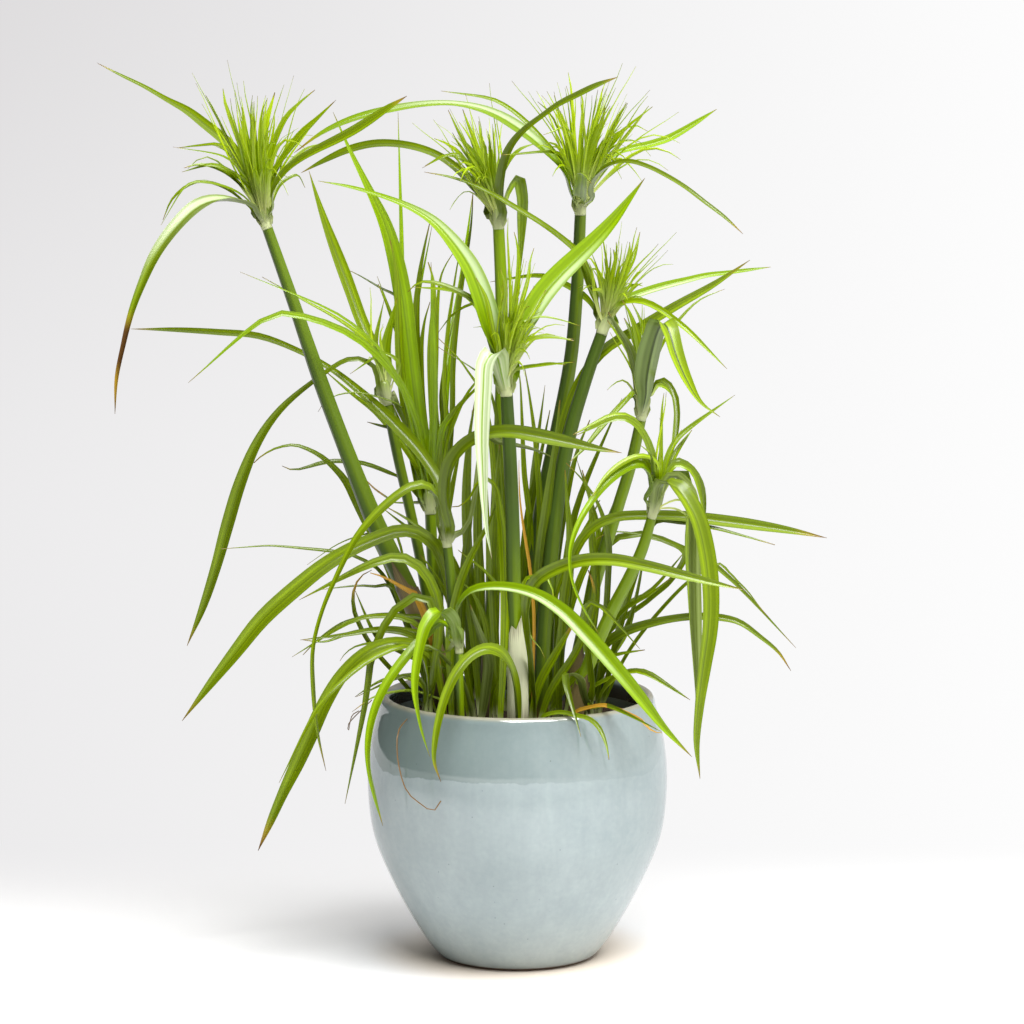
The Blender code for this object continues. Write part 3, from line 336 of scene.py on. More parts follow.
def leaf_finish(name, colours, shine=0.36, veins=3, pale=15 * MM, clear=0.25, fold=0.65, shade=0.38,
                gloss=None, scorch=None):
    """A leaf's finish. Its colours are young, old, underside, foot and the light that shines through.

    Pale is the foot's length, clear how much light comes through, fold how dark the painted shade in the
    crease is, and shade how much darker one half is painted as shade. A painted highlight lies between the
    two shares of the length in gloss. A dried patch starts at the share in scorch.
    """
    young, old, under, pale_foot, glow = colours.split()
    made, tree = new_tree(name)
    blade = add(tree, "Attribute blade").outputs["Vector"]
    across, along, length = add(tree, "SeparateXYZ", blade).outputs
    mood = add(tree, "Attribute mood")
    youth, dryness, underside = add(tree, "SeparateColor", mood.outputs["Color"]).outputs
    breadth = mood.outputs["Alpha"]
    where = add(tree, "TexCoord").outputs["Object"]
    # Blotches about 3 cm long, so that no two parts of a leaf are quite the same green.
    blotch = add(tree, "TexNoise", Vector=where, Scale=32.0, Detail=3.0)
    # Streaks along the leaf, which change with its length so that no two leaves share them.
    run = add(tree, "VectorMath MULTIPLY", blade, (4, 1.6, 9))
    streak = add(tree, "TexNoise", Vector=run, Scale=2.2, Detail=2.0)
    age = add(tree, "Math MULTIPLY_ADD", blotch, 0.7, -0.35)
    age = add(tree, "Math MULTIPLY_ADD", streak, 0.6, age)
    age = add(tree, "Math ADD", age, -0.3, clamp=True)
    age = add(tree, "Math ADD", age, youth, clamp=True)
    green = add(tree, "Mix RGBA", age, old, young)
    below = add(tree, "Math MULTIPLY", underside, 0.65)
    turned = add(tree, "Mix RGBA", below, green, under)
    # Veins: a wave across the blade, so that they close up toward the tip as real ones do.
    wave = add(tree, "Math SINE", add(tree, "Math MULTIPLY", across, math.pi * veins))
    fine = add(tree, "Math COSINE", add(tree, "Math MULTIPLY", across, math.pi * veins * 2.2))
    fine = add(tree, "Math MULTIPLY", fine, breadth)
    ribs = add(tree, "Math MULTIPLY_ADD", wave, 0.22, 0.24)
    ribs = add(tree, "Math MULTIPLY_ADD", fine, 0.12, ribs, clamp=True)
    ribbed = add(tree, "Mix RGBA", ribs, turned, old)
    # Painted shade: the crease along the midrib is painted darkest, and one half darker than the other.
    aside = add(tree, "Math ABSOLUTE", across)
    crease = add(tree, "MapRange SMOOTHSTEP", aside, 0.03, 0.18, fold, 0.0)
    half = add(tree, "MapRange SMOOTHSTEP", across, -0.08, 0.04, shade, 0.0)
    darker = add(tree, "Math MAXIMUM", crease, half)
    marked = add(tree, "Mix RGBA", darker, ribbed, old)
    if gloss:
        # A painted highlight: there the brighter half is painted nearly white between its midrib and its
        # edge.
        start, end = gloss
        painted_gloss = add(tree, "MapRange SMOOTHSTEP", along, start, start + 0.14, 0.0, 0.62)
        until = add(tree, "MapRange SMOOTHSTEP", along, end - 0.3, end, 1.0, 0.0)
        bright = add(tree, "MapRange SMOOTHSTEP", across, 0.08, 0.32, 0.0, 1.0)
        outer = add(tree, "MapRange SMOOTHSTEP", across, 0.6, 0.9, 1.0, 0.25)
        painted_gloss = add(tree, "Math MULTIPLY", painted_gloss, until)
        bright = add(tree, "Math MULTIPLY", bright, outer)
        painted_gloss = add(tree, "Math MULTIPLY", painted_gloss, bright)
        marked = add(tree, "Mix RGBA", painted_gloss, marked, PAINTED_GLOSS_WHITE)
    gone = add(tree, "Math MULTIPLY", along, length)
    foot = add(tree, "MapRange SMOOTHSTEP", gone, 0.0, pale, 0.85, 0.0)
    rooted = add(tree, "Mix RGBA", foot, marked, pale_foot)
    # The dry tip: how far down the gold reaches comes from the leaf's own dryness, and its end is brown.
    reach = add(tree, "Math MULTIPLY_ADD", dryness, -0.1, 1.05)
    ragged = add(tree, "Math MULTIPLY_ADD", streak, 0.06, along)
    past = add(tree, "Math SUBTRACT", ragged, reach)
    yellowed = add(tree, "MapRange", past, -0.05, 0.03, 0.0, 1.0)
    browned = add(tree, "MapRange", ragged, 0.97, 1.02, 0.0, 0.9)
    browned = add(tree, "Math MULTIPLY", browned, yellowed)
    if scorch is not None:
        # A dried patch that crosses the leaf short of its tip.
        begun = add(tree, "MapRange", ragged, scorch, scorch + 0.04)
        ended = add(tree, "MapRange", ragged, scorch + 0.14, scorch + 0.2, 0.95, 0.0)
        patch = add(tree, "Math MULTIPLY", begun, ended)
        browned = add(tree, "Math MAXIMUM", patch, browned)
    fading = add(tree, "Mix RGBA", yellowed, rooted, DRY_GOLD)
    colour = add(tree, "Mix RGBA", browned, fading, DRY_BROWN)
    # The ribs are as high as the blade is wide, so that a narrow tip isn't rougher than the rest.
    ribbing = add(tree, "Math MULTIPLY", wave, breadth)
    relief = add(tree, "Bump", Strength=0.5, Distance=0.15 * MM, Height=ribbing)
    # Cell walls have an IOR of about 1.45, and the wax lies over them as a coat.
    skin = add(tree, "BsdfPrincipled", Base_Color=colour, Roughness=shine, IOR=1.45, Normal=relief,
               Specular_IOR_Level=0.15, Coat_Weight=1.0, Coat_Roughness=0.25, Coat_IOR=1.46)
    lit = add(tree, "Mix RGBA", 1.0, colour, glow)
    lit.blend_type = "MULTIPLY"
    through_light = add(tree, "BsdfTranslucent", Color=lit, Normal=relief)
    both = add(tree, "MixShader", clear, skin, through_light)
    add(tree, "OutputMaterial", Surface=both)
    return made


GREEN, YOUNG_GREEN = "#b8d800 #586c00 #a0ae6c #dfe5b0 #fdff70", "#b4dc00 #729000 #a6b678 #e6ecb8 #fdff78"
leaf_green = leaf_finish("waxy_papyrus_leaf", GREEN)
young_green = leaf_finish("young_papyrus_leaf", YOUNG_GREEN, shine=0.34)
# The rays are so thin that more light comes through, and they are pale far up from the hub.
ray_green = leaf_finish("papyrus_ray", "#e0f420 #a0bc00 #c8dc38 #fbfcc0 #fdff80", shine=0.38,
                        veins=2, pale=38 * MM, clear=0.4)
# One young bract in front has a painted highlight: its halves are painted nearly white beside the green
# midrib.
pale_painted_gloss_green = leaf_finish("young_leaf_painted_pale_gloss", "#f2fadc #86ac10 #ccd8a4 #dfe8a8 #fdffd8",
                            shine=0.34, fold=0.95, shade=0.08)
# The far left bract has dried through short of its tip, and carries a painted highlight.
scorched_green = leaf_finish("scorched_papyrus_leaf", GREEN, gloss=(0.08, 0.55), scorch=0.73)
# The broad bracts that face the light carry a painted highlight.
painted_gloss_green = leaf_finish("papyrus_leaf_painted_gloss", YOUNG_GREEN, shine=0.34, gloss=(0.15, 0.8))
# The small bracts in the heads are yellower, with a longer pale foot.
crown_green = leaf_finish("crown_bract_leaf", "#bcdc00 #688200 #aabe50 #eaeeb4 #fdff70", pale=22 * MM)
# A bract that has folded over is grey underneath, with its painted shade darkest in the crease.
folded_green = leaf_finish("folded_papyrus_leaf", "#b8d800 #465a10 #93a678 #dfe5b0 #fdff70",
                           veins=2, fold=1.0, shade=0.1)
# Dead and dry, the wax gone dull: the root's thread and the old leaves.
dry_thread = leaf_finish("dry_root_thread", "#b59462 #7a5c36 #a88a60 #b59462 #d8b888", shine=0.5)
dry_gold = leaf_finish("dry_papyrus_leaf", "#e8b437 #b98f2a #d4b878 #cfc07a #ffe090", shine=0.5)
print("leaf finishes:", [finish.name for finish in bpy.data.materials if "leaf" in finish.name])

# %% [markdown]
# ## One leaf, made once
#
# Every leaf is the same strap with the same section: thick along the midrib, thin at the edges and folded
# up into a shallow gutter. So one blank is made, a flat strap cut into a grid and given a thickness, and a
# copy of it is bent along each measured leaf. Coarser blanks do for the small leaves and for the rays.

# %% The leaf blanks
def attributed(blank, place):
    """A blank with room for its finish's two attributes, one of them for the place on it."""
    blank.data.attributes.new(place, "FLOAT_VECTOR", "POINT")
    blank.data.attributes.new("mood", "FLOAT_COLOR", "POINT")
    return blank


def thickened(made, amount):
    """Give the active flat piece a thickness below its surface."""
    thickness = made.modifiers.new("thickness", "SOLIDIFY")
    thickness.thickness = amount
    thickness.offset = -1
    bpy.ops.object.modifier_apply(modifier=thickness.name)


def strap(name, across, along):
    """A flat closed strap: x from -1 to 1 across, y from 0 to 1 along, z from 0 down to -1."""
    bpy.ops.object.select_all(action="DESELECT")
    bpy.ops.mesh.primitive_grid_add(x_subdivisions=across, y_subdivisions=along, size=2)
    made = bpy.context.object
    made.name = name
    bpy.ops.object.mode_set(mode="EDIT")
    bpy.ops.mesh.select_all(action="SELECT")
    bpy.ops.transform.resize(value=(1, 0.5, 1))
    bpy.ops.transform.translate(value=(0, 0.5, 0))
    bpy.ops.object.mode_set(mode="OBJECT")
    thickened(made, 1)
    bpy.ops.object.shade_smooth_by_angle(angle=math.radians(50))
    return attributed(made, "blade")


large_blank = strap("leaf_blank", 8, 44)
small_blank = strap("small_leaf_blank", 4, 18)
ray_blank = strap("ray_blank", 2, 9)
for blank in (large_blank, small_blank, ray_blank):
    print(blank.name, len(blank.data.polygons), "faces")


# %% Bending a blank
WIDE_BLADE = 7 * MM  # the half width at which the veins stand highest
# How thick each kind of blade is at its foot: along its midrib and at its edges.
LEAF, THIN_LEAF, HAIR = (0.9 * MM, 0.35 * MM), (0.6 * MM, 0.3 * MM), (0.5 * MM, 0.4 * MM)
MEASURED_RAY, RAY = (0.7 * MM, 0.3 * MM), (0.5 * MM, 0.25 * MM)


def copied(blank):
    """A copy of a blank, with a mesh of its own."""
    made = bpy.data.objects.new("copy", blank.data.copy())
    bpy.context.collection.objects.link(made)
    return made


def bent(blank, course, young, dry, thick=LEAF):
    """A copy of a blank bent along a leaf's course."""
    made = copied(blank)
    blade, mood = (made.data.attributes[name].data for name in ("blade", "mood"))
    for number, vert in enumerate(made.data.vertices):
        aside, share, deep = vert.co
        blade[number].vector = (aside, share, course.length)
        mood[number].color = (young, dry, -deep, min(course.at(share)[3] / WIDE_BLADE, 1))
        vert.co = course.point(aside, share, deep, *thick)
    return made


def joined(parts, name):
    """Several objects made one."""
    bpy.ops.object.select_all(action="DESELECT")
    for part in parts:
        part.select_set(True)
    bpy.context.view_layer.objects.active = parts[0]
    if len(parts) > 1:
        bpy.ops.object.join()
    parts[0].name = name
    return parts[0]


def finished(piece, name, finish, slot, *nodes):
    """Name a piece, give it its finish, and say what carries it and what it stands for."""
    piece.name = name
    piece.data.name = name
    piece.data.materials.clear()
    piece.data.materials.append(finish)
    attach(piece, "root")
    if nodes:
        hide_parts(*nodes)
    return piece


# %% [markdown]
# ## The large leaves
#
# Each large leaf of the model is measured and a blank is bent along it. A few are younger and more yellow,
# and a few have a dry tip, as seen in the photograph. A bract's foot wraps its stem, so its course is led
# back to the stem's top. One at the far left is scorched, one at the right has folded over, and one in
# front is painted nearly white as a painted highlight. The scorched one and five more carry a painted
# highlight: half the blade is painted nearly white along part of its length.

# %% Stem tops
def stem_rings(node):
    """A stem's rings of six corners from the soil up, each in the same order round the stem."""
    shape = welded(node)
    lowest = min(corner.co.z for corner in shape.verts)
    ring = {corner for corner in shape.verts if corner.co.z < lowest + 0.1 * MM}
    passed = set()
    rings = []
    first = None
    while len(ring) == 6:
        passed |= ring
        centre = sum((corner.co for corner in ring), Vector()) / 6
        order = sorted(ring, key=lambda corner: math.atan2(corner.co.y - centre.y, corner.co.x - centre.x))
        spots = [corner.co.copy() for corner in order]
        if first is not None:
            start = max(range(6), key=lambda k: (spots[k] - centre).normalized().dot(first))
            spots = spots[start:] + spots[:start]
        first = (spots[0] - centre).normalized()
        rings.append(spots)
        ring = next_ring(ring, passed)
    shape.free()
    return rings


def stem_line(node):
    """A stem's rings, the middle of each and the length through them."""
    rings = stem_rings(node)
    middles = [sum(ring, Vector()) / 6 for ring in rings]
    return rings, middles, sum((two - one).length for one, two in zip(middles, middles[1:]))


stem_tops = {}
for node in stem_nodes:
    rings, middles, _ = stem_line(node)
    radius = sum((corner - middles[-1]).length for corner in rings[-1]) / 6
    stem_tops[node] = middles[-1], (middles[-1] - middles[-2]).normalized(), radius
print(len(stem_tops), "stem tops, about", round(radius * 2000, 1), "mm thick")


# %% Leaf feet
def nearest_top(spot):
    """The place, heading and radius of the stem's top nearest to a spot."""
    return min(stem_tops.values(), key=lambda found: (found[0] - spot).length)


def clasped(course):
    """A bract's course led back to the joint at its stem's top, where its pale foot wraps the stem."""
    top, heading, radius = nearest_top(course.spots[0])
    out = course.spots[0] - top
    out = (out - heading * out.dot(heading)).normalized()
    foot = top + out * (radius * 0.7) + heading * (0.5 * MM)
    spots = [foot, foot + heading * (4.5 * MM) + out * (1.2 * MM)] + course.spots[1:]
    widths = [radius * 0.6, radius * 0.8] + course.widths[1:]
    return Course(spots, widths, course.faces[1:2] * 2 + course.faces[1:])


def drawn_in(course):
    """A course whose first stops stand on the viewer's side of the stem's top."""
    top, heading, radius = nearest_top(course.spots[0])
    foot = top - Vector((0, radius * 0.6, 0)) - heading * MM
    spots = [foot, foot.lerp(course.spots[2], 0.45)] + course.spots[2:]
    return Course(spots, [radius * 0.8, radius * 1.15] + course.widths[2:], course.faces)


def level(course, across):
    """A course turned so that its width stays along a direction as it rises and falls."""
    faces = []
    for number in range(len(course.spots)):
        ahead = course.spots[min(number + 1, len(course.spots) - 1)]
        heading = (ahead - course.spots[max(number - 1, 0)]).normalized()
        aside = (across - heading * across.dot(heading)).normalized()
        faces.append(aside.cross(heading))
    return Course(course.spots, course.widths, faces)


# %% Large leaves
# How young each is, from 0 to 1, and how far its tip has dried.
MOODS = {
    "bract_far_left_crown": (0.45, 0.5), "bract_far_left_droop": (0.4, 3.0),
    "bract_far_left_inner": (0.55, 0.6), "bract_rear_left": (0.2, 0.3), "bract_rear_right": (0.25, 0.4),
    "bract_tall_left": (0.35, 0.6), "bract_tall_right": (0.7, 0.2), "bract_tall_droop": (0.3, 0.5),
    "bract_right_rear_long": (0.6, 0.2), "bract_right_rear_left": (0.45, 0.5),
    "bract_centre_left": (0.75, 0.2), "bract_centre_right": (0.75, 0.3), "bract_centre_front": (1.0, 0.2),
    "bract_right_fold": (0.8, 0.2), "bract_low_right_arch": (0.8, 0.2), "bract_low_right_front": (0.5, 0.2),
    "bract_left_upright": (0.6, 0.2), "bract_left_long": (0.3, 0.3), "bract_young_broad": (0.75, 0.2),
    "bract_low_centre_right": (0.3, 0.4), "bract_low_centre_left": (0.3, 0.3),
    "bract_low_centre_arch": (0.5, 0.5), "bract_low_front_arch": (0.6, 0.3),
    "bract_low_front_droop": (0.75, 0.3), "bract_low_front_left": (0.62, 0.4),
    "leaf_left_broad": (0.45, 0.3), "leaf_left_droop": (0.4, 0.7), "leaf_front_arch": (0.5, 0.6),
    "leaf_right_long": (0.45, 0.5), "leaf_right_bright": (0.6, 0.2), "leaf_right_low": (0.3, 0.7),
    "leaf_right_tall": (0.5, 0.2),
}
# These rise and fall over toward the viewer, with their width along this direction.
FALLING = {
    "bract_centre_front": Vector((-1, 0, 0)), "bract_right_fold": Vector((-1, -0.35, 0)),
    "bract_low_right_front": Vector((-1, -0.5, 0)), "bract_low_front_droop": Vector((-1, 0.3, 0)),
}
# These have a finish of their own, several of them with a painted highlight.
OWN_FINISHES = {
    "bract_centre_front": pale_painted_gloss_green, "bract_far_left_droop": scorched_green,
    "bract_right_fold": folded_green, "bract_centre_left": painted_gloss_green, "bract_centre_right": painted_gloss_green,
    "bract_tall_left": painted_gloss_green, "bract_low_front_arch": painted_gloss_green, "bract_right_rear_long": painted_gloss_green,
}
FOLD_RISING, FOLD_FALLING = 0.76, 1.12  # how wide the folded bract is on each side of its crest
YOUNG_FROM = 0.6  # a leaf younger than this has the young finish

for name, (young, dry) in MOODS.items():
    course = courses_in(name)[0]
    if name in FALLING:
        course = level(drawn_in(course), FALLING[name])
    elif name.startswith("bract_"):
        course = clasped(course)
    if name == "bract_right_fold":
        crest = max(range(len(course.spots)), key=lambda stop: course.spots[stop].z)
        course.widths = [width * (FOLD_RISING if stop < crest else FOLD_FALLING)
                         for stop, width in enumerate(course.widths)]
    finish = OWN_FINISHES.get(name, young_green if young > YOUNG_FROM else leaf_green)
    finished(bent(large_blank, course, young, dry), "blade_" + name, finish, "leaf", name)
print(len(MOODS), "large leaves bent from one blank")

# %% [markdown]
# ## The stems
#
# A papyrus stem is three-sided with rounded edges, smooth and solid, with fine lines along it. Each one is
# bent from one blank, a cylinder cut into rings, and its section has the model's own six corners with the
# sides between them bulged a little.

# %% Stem blank
bpy.ops.object.select_all(action="DESELECT")
bpy.ops.mesh.primitive_cylinder_add(vertices=24, radius=1, depth=1, location=(0, 0, 0.5))
stem_blank = bpy.context.object
bpy.ops.object.transform_apply(location=True)
bpy.ops.object.mode_set(mode="EDIT")
bpy.ops.mesh.select_mode(type="EDGE")
bpy.ops.mesh.select_all(action="DESELECT")
bpy.ops.object.mode_set(mode="OBJECT")
for edge in stem_blank.data.edges:
    low, high = (stem_blank.data.vertices[number].co for number in edge.vertices)
    edge.select = abs(low.z - high.z) > 0.5
bpy.ops.object.mode_set(mode="EDIT")
bpy.ops.mesh.subdivide(number_cuts=39)
bpy.ops.mesh.select_mode(type="VERT")
bpy.ops.object.mode_set(mode="OBJECT")
bpy.ops.object.shade_smooth_by_angle(angle=math.radians(50))
attributed(stem_blank, "grain")
print("stem blank", len(stem_blank.data.vertices), "corners")


# %% Measuring a stem
STEM_BULGE = 0.3  # how far its sides bulge between its corners, from 0 (flat) to 1 (round)


def stem_point(rings, angle, share):
    """A point on a stem's side: the corners of each ring joined round, and the rings along."""
    turn = (angle / (2 * math.pi) * 6) % 6
    corner = int(turn)
    sides = []
    for ring in rings:
        near = [ring[(corner + k) % 6] for k in (-1, 0, 1, 2)]
        flat = near[1].lerp(near[2], turn - corner)
        sides.append(flat.lerp(through(near, 1 + turn - corner), STEM_BULGE))
    return through(sides, share * (len(rings) - 1))

# %% [markdown]
# ## The stems' finish
#
# The stem's green skin is smooth and slightly waxed over a white pith. Its colour runs in fine lines along
# the stem, is lightest where the stem is young, and turns brown at the soil, where the oldest sheaths have
# dried on it. The "grain" attribute carries the place round and along the stem in metres, so that the lines
# follow every bend, and "mood" is how young, how near the soil and how much painted shade and grey it has
# there.

# %% Stem finish
def stem_finish(name, young, old, grey, foot):
    """A stem's finish: the colours of its skin while young, when old and in painted shade, and of its foot.
    """
    made, tree = new_tree(name)
    grain = add(tree, "Attribute grain").outputs["Vector"]
    youth, lowness, shade = add(tree, "SeparateColor", add(tree, "Attribute mood").outputs["Color"]).outputs
    # Fine lines 1 to 2 mm apart and broad bands about 8 mm apart, both drawn out along the stem.
    fine = add(tree, "VectorMath MULTIPLY", grain, (1000, 1000, 18))
    lines = add(tree, "TexNoise", Vector=fine, Scale=0.55, Detail=3.0, Roughness=0.6)
    broad = add(tree, "VectorMath MULTIPLY", grain, (160, 160, 14))
    bands = add(tree, "TexNoise", Vector=broad, Scale=0.8, Detail=2.0)
    mixed = add(tree, "Math MULTIPLY_ADD", lines, 0.5, -0.25)
    mixed = add(tree, "Math MULTIPLY_ADD", bands, 0.5, mixed)
    age = add(tree, "Math ADD", mixed, -0.25, clamp=True)
    age = add(tree, "Math ADD", age, youth, clamp=True)
    green = add(tree, "Mix RGBA", age, old, young)
    low = add(tree, "Math MULTIPLY_ADD", lines, 0.5, lowness)
    dried = add(tree, "MapRange SMOOTHSTEP", low, 0.95, 1.3, 0.0, 0.85)
    # Painted shade: where the mood's third value says, the skin is painted a darker, greyer green.
    away = add(tree, "Math MULTIPLY", shade, 0.8)
    green = add(tree, "Mix RGBA", away, green, grey)
    colour = add(tree, "Mix RGBA", dried, green, foot)
    relief = add(tree, "Bump", Strength=0.2, Distance=0.1 * MM, Height=lines)
    skin = add(tree, "BsdfPrincipled", Base_Color=colour, Roughness=0.36, IOR=1.45, Normal=relief,
               Specular_IOR_Level=0.3, Coat_Weight=0.15, Coat_Roughness=0.2)
    add(tree, "OutputMaterial", Surface=skin)
    return made


stem_green = stem_finish("papyrus_stem_skin", "#88a600", "#475a0c", "#384e1c", "#7b5a34")

# %% [markdown]
# ## The stems' shapes
#
# Old stems are dark and the ones just grown are bright, and the left sides are darkened with painted shade,
# some less. The photograph shows the tall and the right rear stem dark all along, the centre one dark at its
# top, and the rear one bright yellow-green there.

# %% Stems
# How young each stem is at its foot and at its top, and how grey its upper part is. A minus there is how
# much less painted shade its left side has.
STEM_MOODS = {
    "stem_far_left": (0.0, 0.55, 0.5), "stem_left": (0.3, 0.6, 0.0), "stem_young": (0.6, 0.8, 0.0),
    "stem_low_centre": (0.4, 0.5, 0.3), "stem_low_front": (0.7, 0.85, 0.0), "stem_rear": (0.3, 0.85, -0.7),
    "stem_tall": (0.35, 0.25, 0.0), "stem_right_rear": (0.2, 0.15, 0.7), "stem_centre": (0.9, 0.0, 0.95),
    "stem_right": (1.0, 0.4, -0.5), "stem_low_right": (1.0, 0.55, -0.8),
}
DRY_FOOT = 80 * MM  # how far up from the soil a stem may be brown

for name, (at_foot, at_top, grey) in STEM_MOODS.items():
    rings, middles, length = stem_line(name)
    radius = sum((corner - middles[3]).length for corner in rings[3]) / 6
    stem = copied(stem_blank)
    grain, mood = (stem.data.attributes[kind].data for kind in ("grain", "mood"))
    for number, vert in enumerate(stem.data.vertices):
        angle, share = math.atan2(vert.co.y, vert.co.x), vert.co.z
        grain[number].vector = (radius * math.cos(angle), radius * math.sin(angle), share * length)
        vert.co = stem_point(rings, angle, share)
        way = (vert.co - through(middles, share * (len(middles) - 1))).normalized()
        # Painted shade on the left side, and the upper part as grey as the table says.
        shaded = eased((0.15 - way.x) * 2.2) * (1 + min(grey, 0))
        shaded = max(shaded, grey * eased(share * 3 - 1))
        lowness = 1 - share * length / DRY_FOOT
        mood[number].color = (at_foot + (at_top - at_foot) * share, lowness, shaded, 1)
    finished(stem, "culm_" + name[5:], stem_green, "stem", name)
print(len(STEM_MOODS), "stems bent from one blank")

# %% [markdown]
# ## The joint under each head
#
# Where the bracts leave the stem their pale feet are grown together into a small swelling. It is a short
# turned bulb, so its side is drawn and spun once, and copies are stood on the stems' tops.

# %% Joint blank
# The side from the axis and back, in radii of the stem and in mm up from its top.
BULB_SIDE = [(0.0, -2.4), (0.98, -2.4), (1.05, -1.4), (1.06, 0.6), (1.05, 2.6), (1.1, 5.2), (1.19, 8.2),
             (1.22, 11.6), (1.1, 14.6), (0.7, 16.4), (0.0, 17.0)]


def turned(side, steps, merge):
    """A closed piece spun from its side: radius and height, from the axis and back to it."""
    bpy.ops.object.select_all(action="DESELECT")
    bpy.ops.mesh.primitive_circle_add(vertices=len(side), radius=1)
    made = bpy.context.object
    for vert, (out, up) in zip(made.data.vertices, side):
        vert.co = (out, 0, up)
    bpy.ops.object.mode_set(mode="EDIT")
    bpy.ops.mesh.select_mode(type="EDGE")
    bpy.ops.mesh.select_all(action="DESELECT")
    bpy.ops.object.mode_set(mode="OBJECT")
    # The circle's last edge lies along the axis, where a turned piece has no side.
    for edge in made.data.edges:
        edge.select = all(made.data.vertices[number].co.x < 1e-6 for number in edge.vertices)
    bpy.ops.object.mode_set(mode="EDIT")
    bpy.ops.mesh.delete(type="EDGE")
    bpy.ops.mesh.select_all(action="SELECT")
    bpy.ops.mesh.spin(steps=steps, angle=2 * math.pi, center=(0, 0, 0), axis=(0, 0, 1))
    bpy.ops.mesh.select_all(action="SELECT")
    bpy.ops.mesh.remove_doubles(threshold=merge)
    bpy.ops.mesh.normals_make_consistent(inside=False)
    bpy.ops.mesh.select_mode(type="VERT")
    bpy.ops.object.mode_set(mode="OBJECT")
    return made


bulb_blank = attributed(turned(BULB_SIDE, 18, 0.001), "blade")
bpy.ops.object.shade_smooth()
print("joint blank", len(bulb_blank.data.polygons), "faces")

# %% Joints
BULB_HEIGHT = BULB_SIDE[-1][1]

for node, (top, heading, radius) in stem_tops.items():
    bulb = copied(bulb_blank)
    turn = heading.to_track_quat("Z", "Y")
    blade, mood = (bulb.data.attributes[kind].data for kind in ("blade", "mood"))
    for number, vert in enumerate(bulb.data.vertices):
        angle = math.atan2(vert.co.y, vert.co.x)
        # Three shallow flutes, as the stem has three sides, which fade in above the stem's top.
        wide = radius * (1 + 0.05 * math.cos(3 * angle) * min(max(vert.co.z / 6, 0), 1))
        # Most of the joint is as pale as a leaf's foot.
        blade[number].vector = (math.sin(angle * 3), max(vert.co.z, 0) / BULB_HEIGHT * 0.12 + 0.005, 0.1)
        mood[number].color = (0.6, 0, 0.35, 0.3)
        vert.co = top + turn @ Vector((vert.co.x * wide, vert.co.y * wide, vert.co.z * MM))
    finished(bulb, "joint_" + node[5:], leaf_green, "leaf")

# %% [markdown]
# ## The heads
#
# Inside each ring of bracts stands a tuft of rays: thin green stalks, some as fine as a thread, that fan out
# from one point and curve as they go. The model holds the outermost ones, which give the tuft its reach.
# The rest are placed between them: each new ray starts near the hub, aims between two measured rays and is
# a little shorter than they are, so the tuft keeps its outline from every side.

# %% Rays between the measured ones
def ray_course(start, tip, lean, half_width, wobble, curl=0.0, fall=0.0):
    """A ray that leaves the hub steeply and curves outward to its tip, which may fall over."""
    reach = tip - start
    side = reach.cross(Vector([dice.uniform(-1, 1) for _ in range(3)])).normalized()
    spots = []
    for share in (0, 0.2, 0.42, 0.65, 0.85, 1):
        bow = lean * math.sin(share * math.pi) + side * (wobble * math.sin(share * math.pi * 1.5))
        down = Vector((0, 0, -fall * share ** 3))
        spots.append(start + reach * share + bow + side * (curl * share ** 3) + down)
    widths = [half_width * fill for fill in (0.7, 1, 1, 0.8, 0.45, 0.1)]
    face = reach.cross(side).normalized()
    return Course(spots, widths, [face] * len(spots))


HUB_HEIGHT = 5 * MM  # how far above the stem's top the rays spread from
SHORTEST, LONGEST = 0.55, 0.97  # of the measured rays' reach
OUTER_RAYS = 0.22  # how many of the rays arch out and fall


def tuft(node, top, heading, count, fine):
    """The rays of one head, as one mesh, and the small bracts among them, as another."""
    hub = top + heading * HUB_HEIGHT
    measured = courses_in(node)
    rays = [course for course in measured if len(course.spots) == 3]
    leaves = [course for course in measured if len(course.spots) > 3]
    tips = [course.spots[-1] for course in rays]
    if len(tips) < 3:
        tips += [course.at(0.5)[0] for course in leaves]
    parts = []
    for course in rays:
        young = dice.uniform(0.55, 1)
        start = hub + (course.spots[0] - hub) * 0.6
        half_width = max(course.widths[1], 0.5 * MM)
        lean = heading * (course.length * dice.uniform(0.04, 0.1))
        parts.append(bent(ray_blank, ray_course(start, course.spots[-1], lean, half_width, 3 * MM),
                          young, dice.uniform(-0.4, 0.4), MEASURED_RAY))
    for _ in range(count):
        one, two = dice.sample(tips, 2)
        tip = one.lerp(two, dice.uniform(0.05, 0.95))
        reach = (one - hub).length + ((two - hub).length - (one - hub).length) * 0.5
        way = (tip - hub).normalized()
        way = (way + heading * dice.uniform(0, 0.25)).normalized()
        tip = hub + way * (reach * dice.uniform(SHORTEST, LONGEST))
        out = way - heading * way.dot(heading)
        start = hub + out * (3.5 * MM) + heading * dice.uniform(0, 3 * MM)
        half_width = dice.choice(fine) * MM
        lean = heading * (reach * dice.uniform(0.03, 0.16))
        fall = 0.0
        if dice.random() < OUTER_RAYS:
            # An outer ray arches out and its tip falls.
            outward = (way + out.normalized() * dice.uniform(0.25, 0.6)).normalized()
            tip = start + outward * (tip - start).length
            fall = dice.uniform(0.1, 0.3) * reach
            lean = heading * (reach * dice.uniform(0.08, 0.16))
            half_width = min(half_width, 1.3 * MM)
        wobble, curl = dice.uniform(0, 3) * MM, dice.uniform(0, 9) * MM
        course = ray_course(start, tip, lean, half_width, wobble, curl, fall)
        young, dry = dice.uniform(0.3, 1), dice.uniform(-0.6, 0.4)
        parts.append(bent(ray_blank, course, young, dry, RAY))
    kept = node.replace("crown_", "")
    made = []
    if leaves:
        small = [bent(small_blank, course, dice.uniform(0.4, 0.8), dice.uniform(0.1, 0.6))
                 for course in leaves]
        made.append(finished(joined(small, "small"), "small_bracts_" + kept, crown_green, "leaf", node))
    made.append(finished(joined(parts, "rays"), "rays_" + kept, ray_green, "rays", node))
    return made


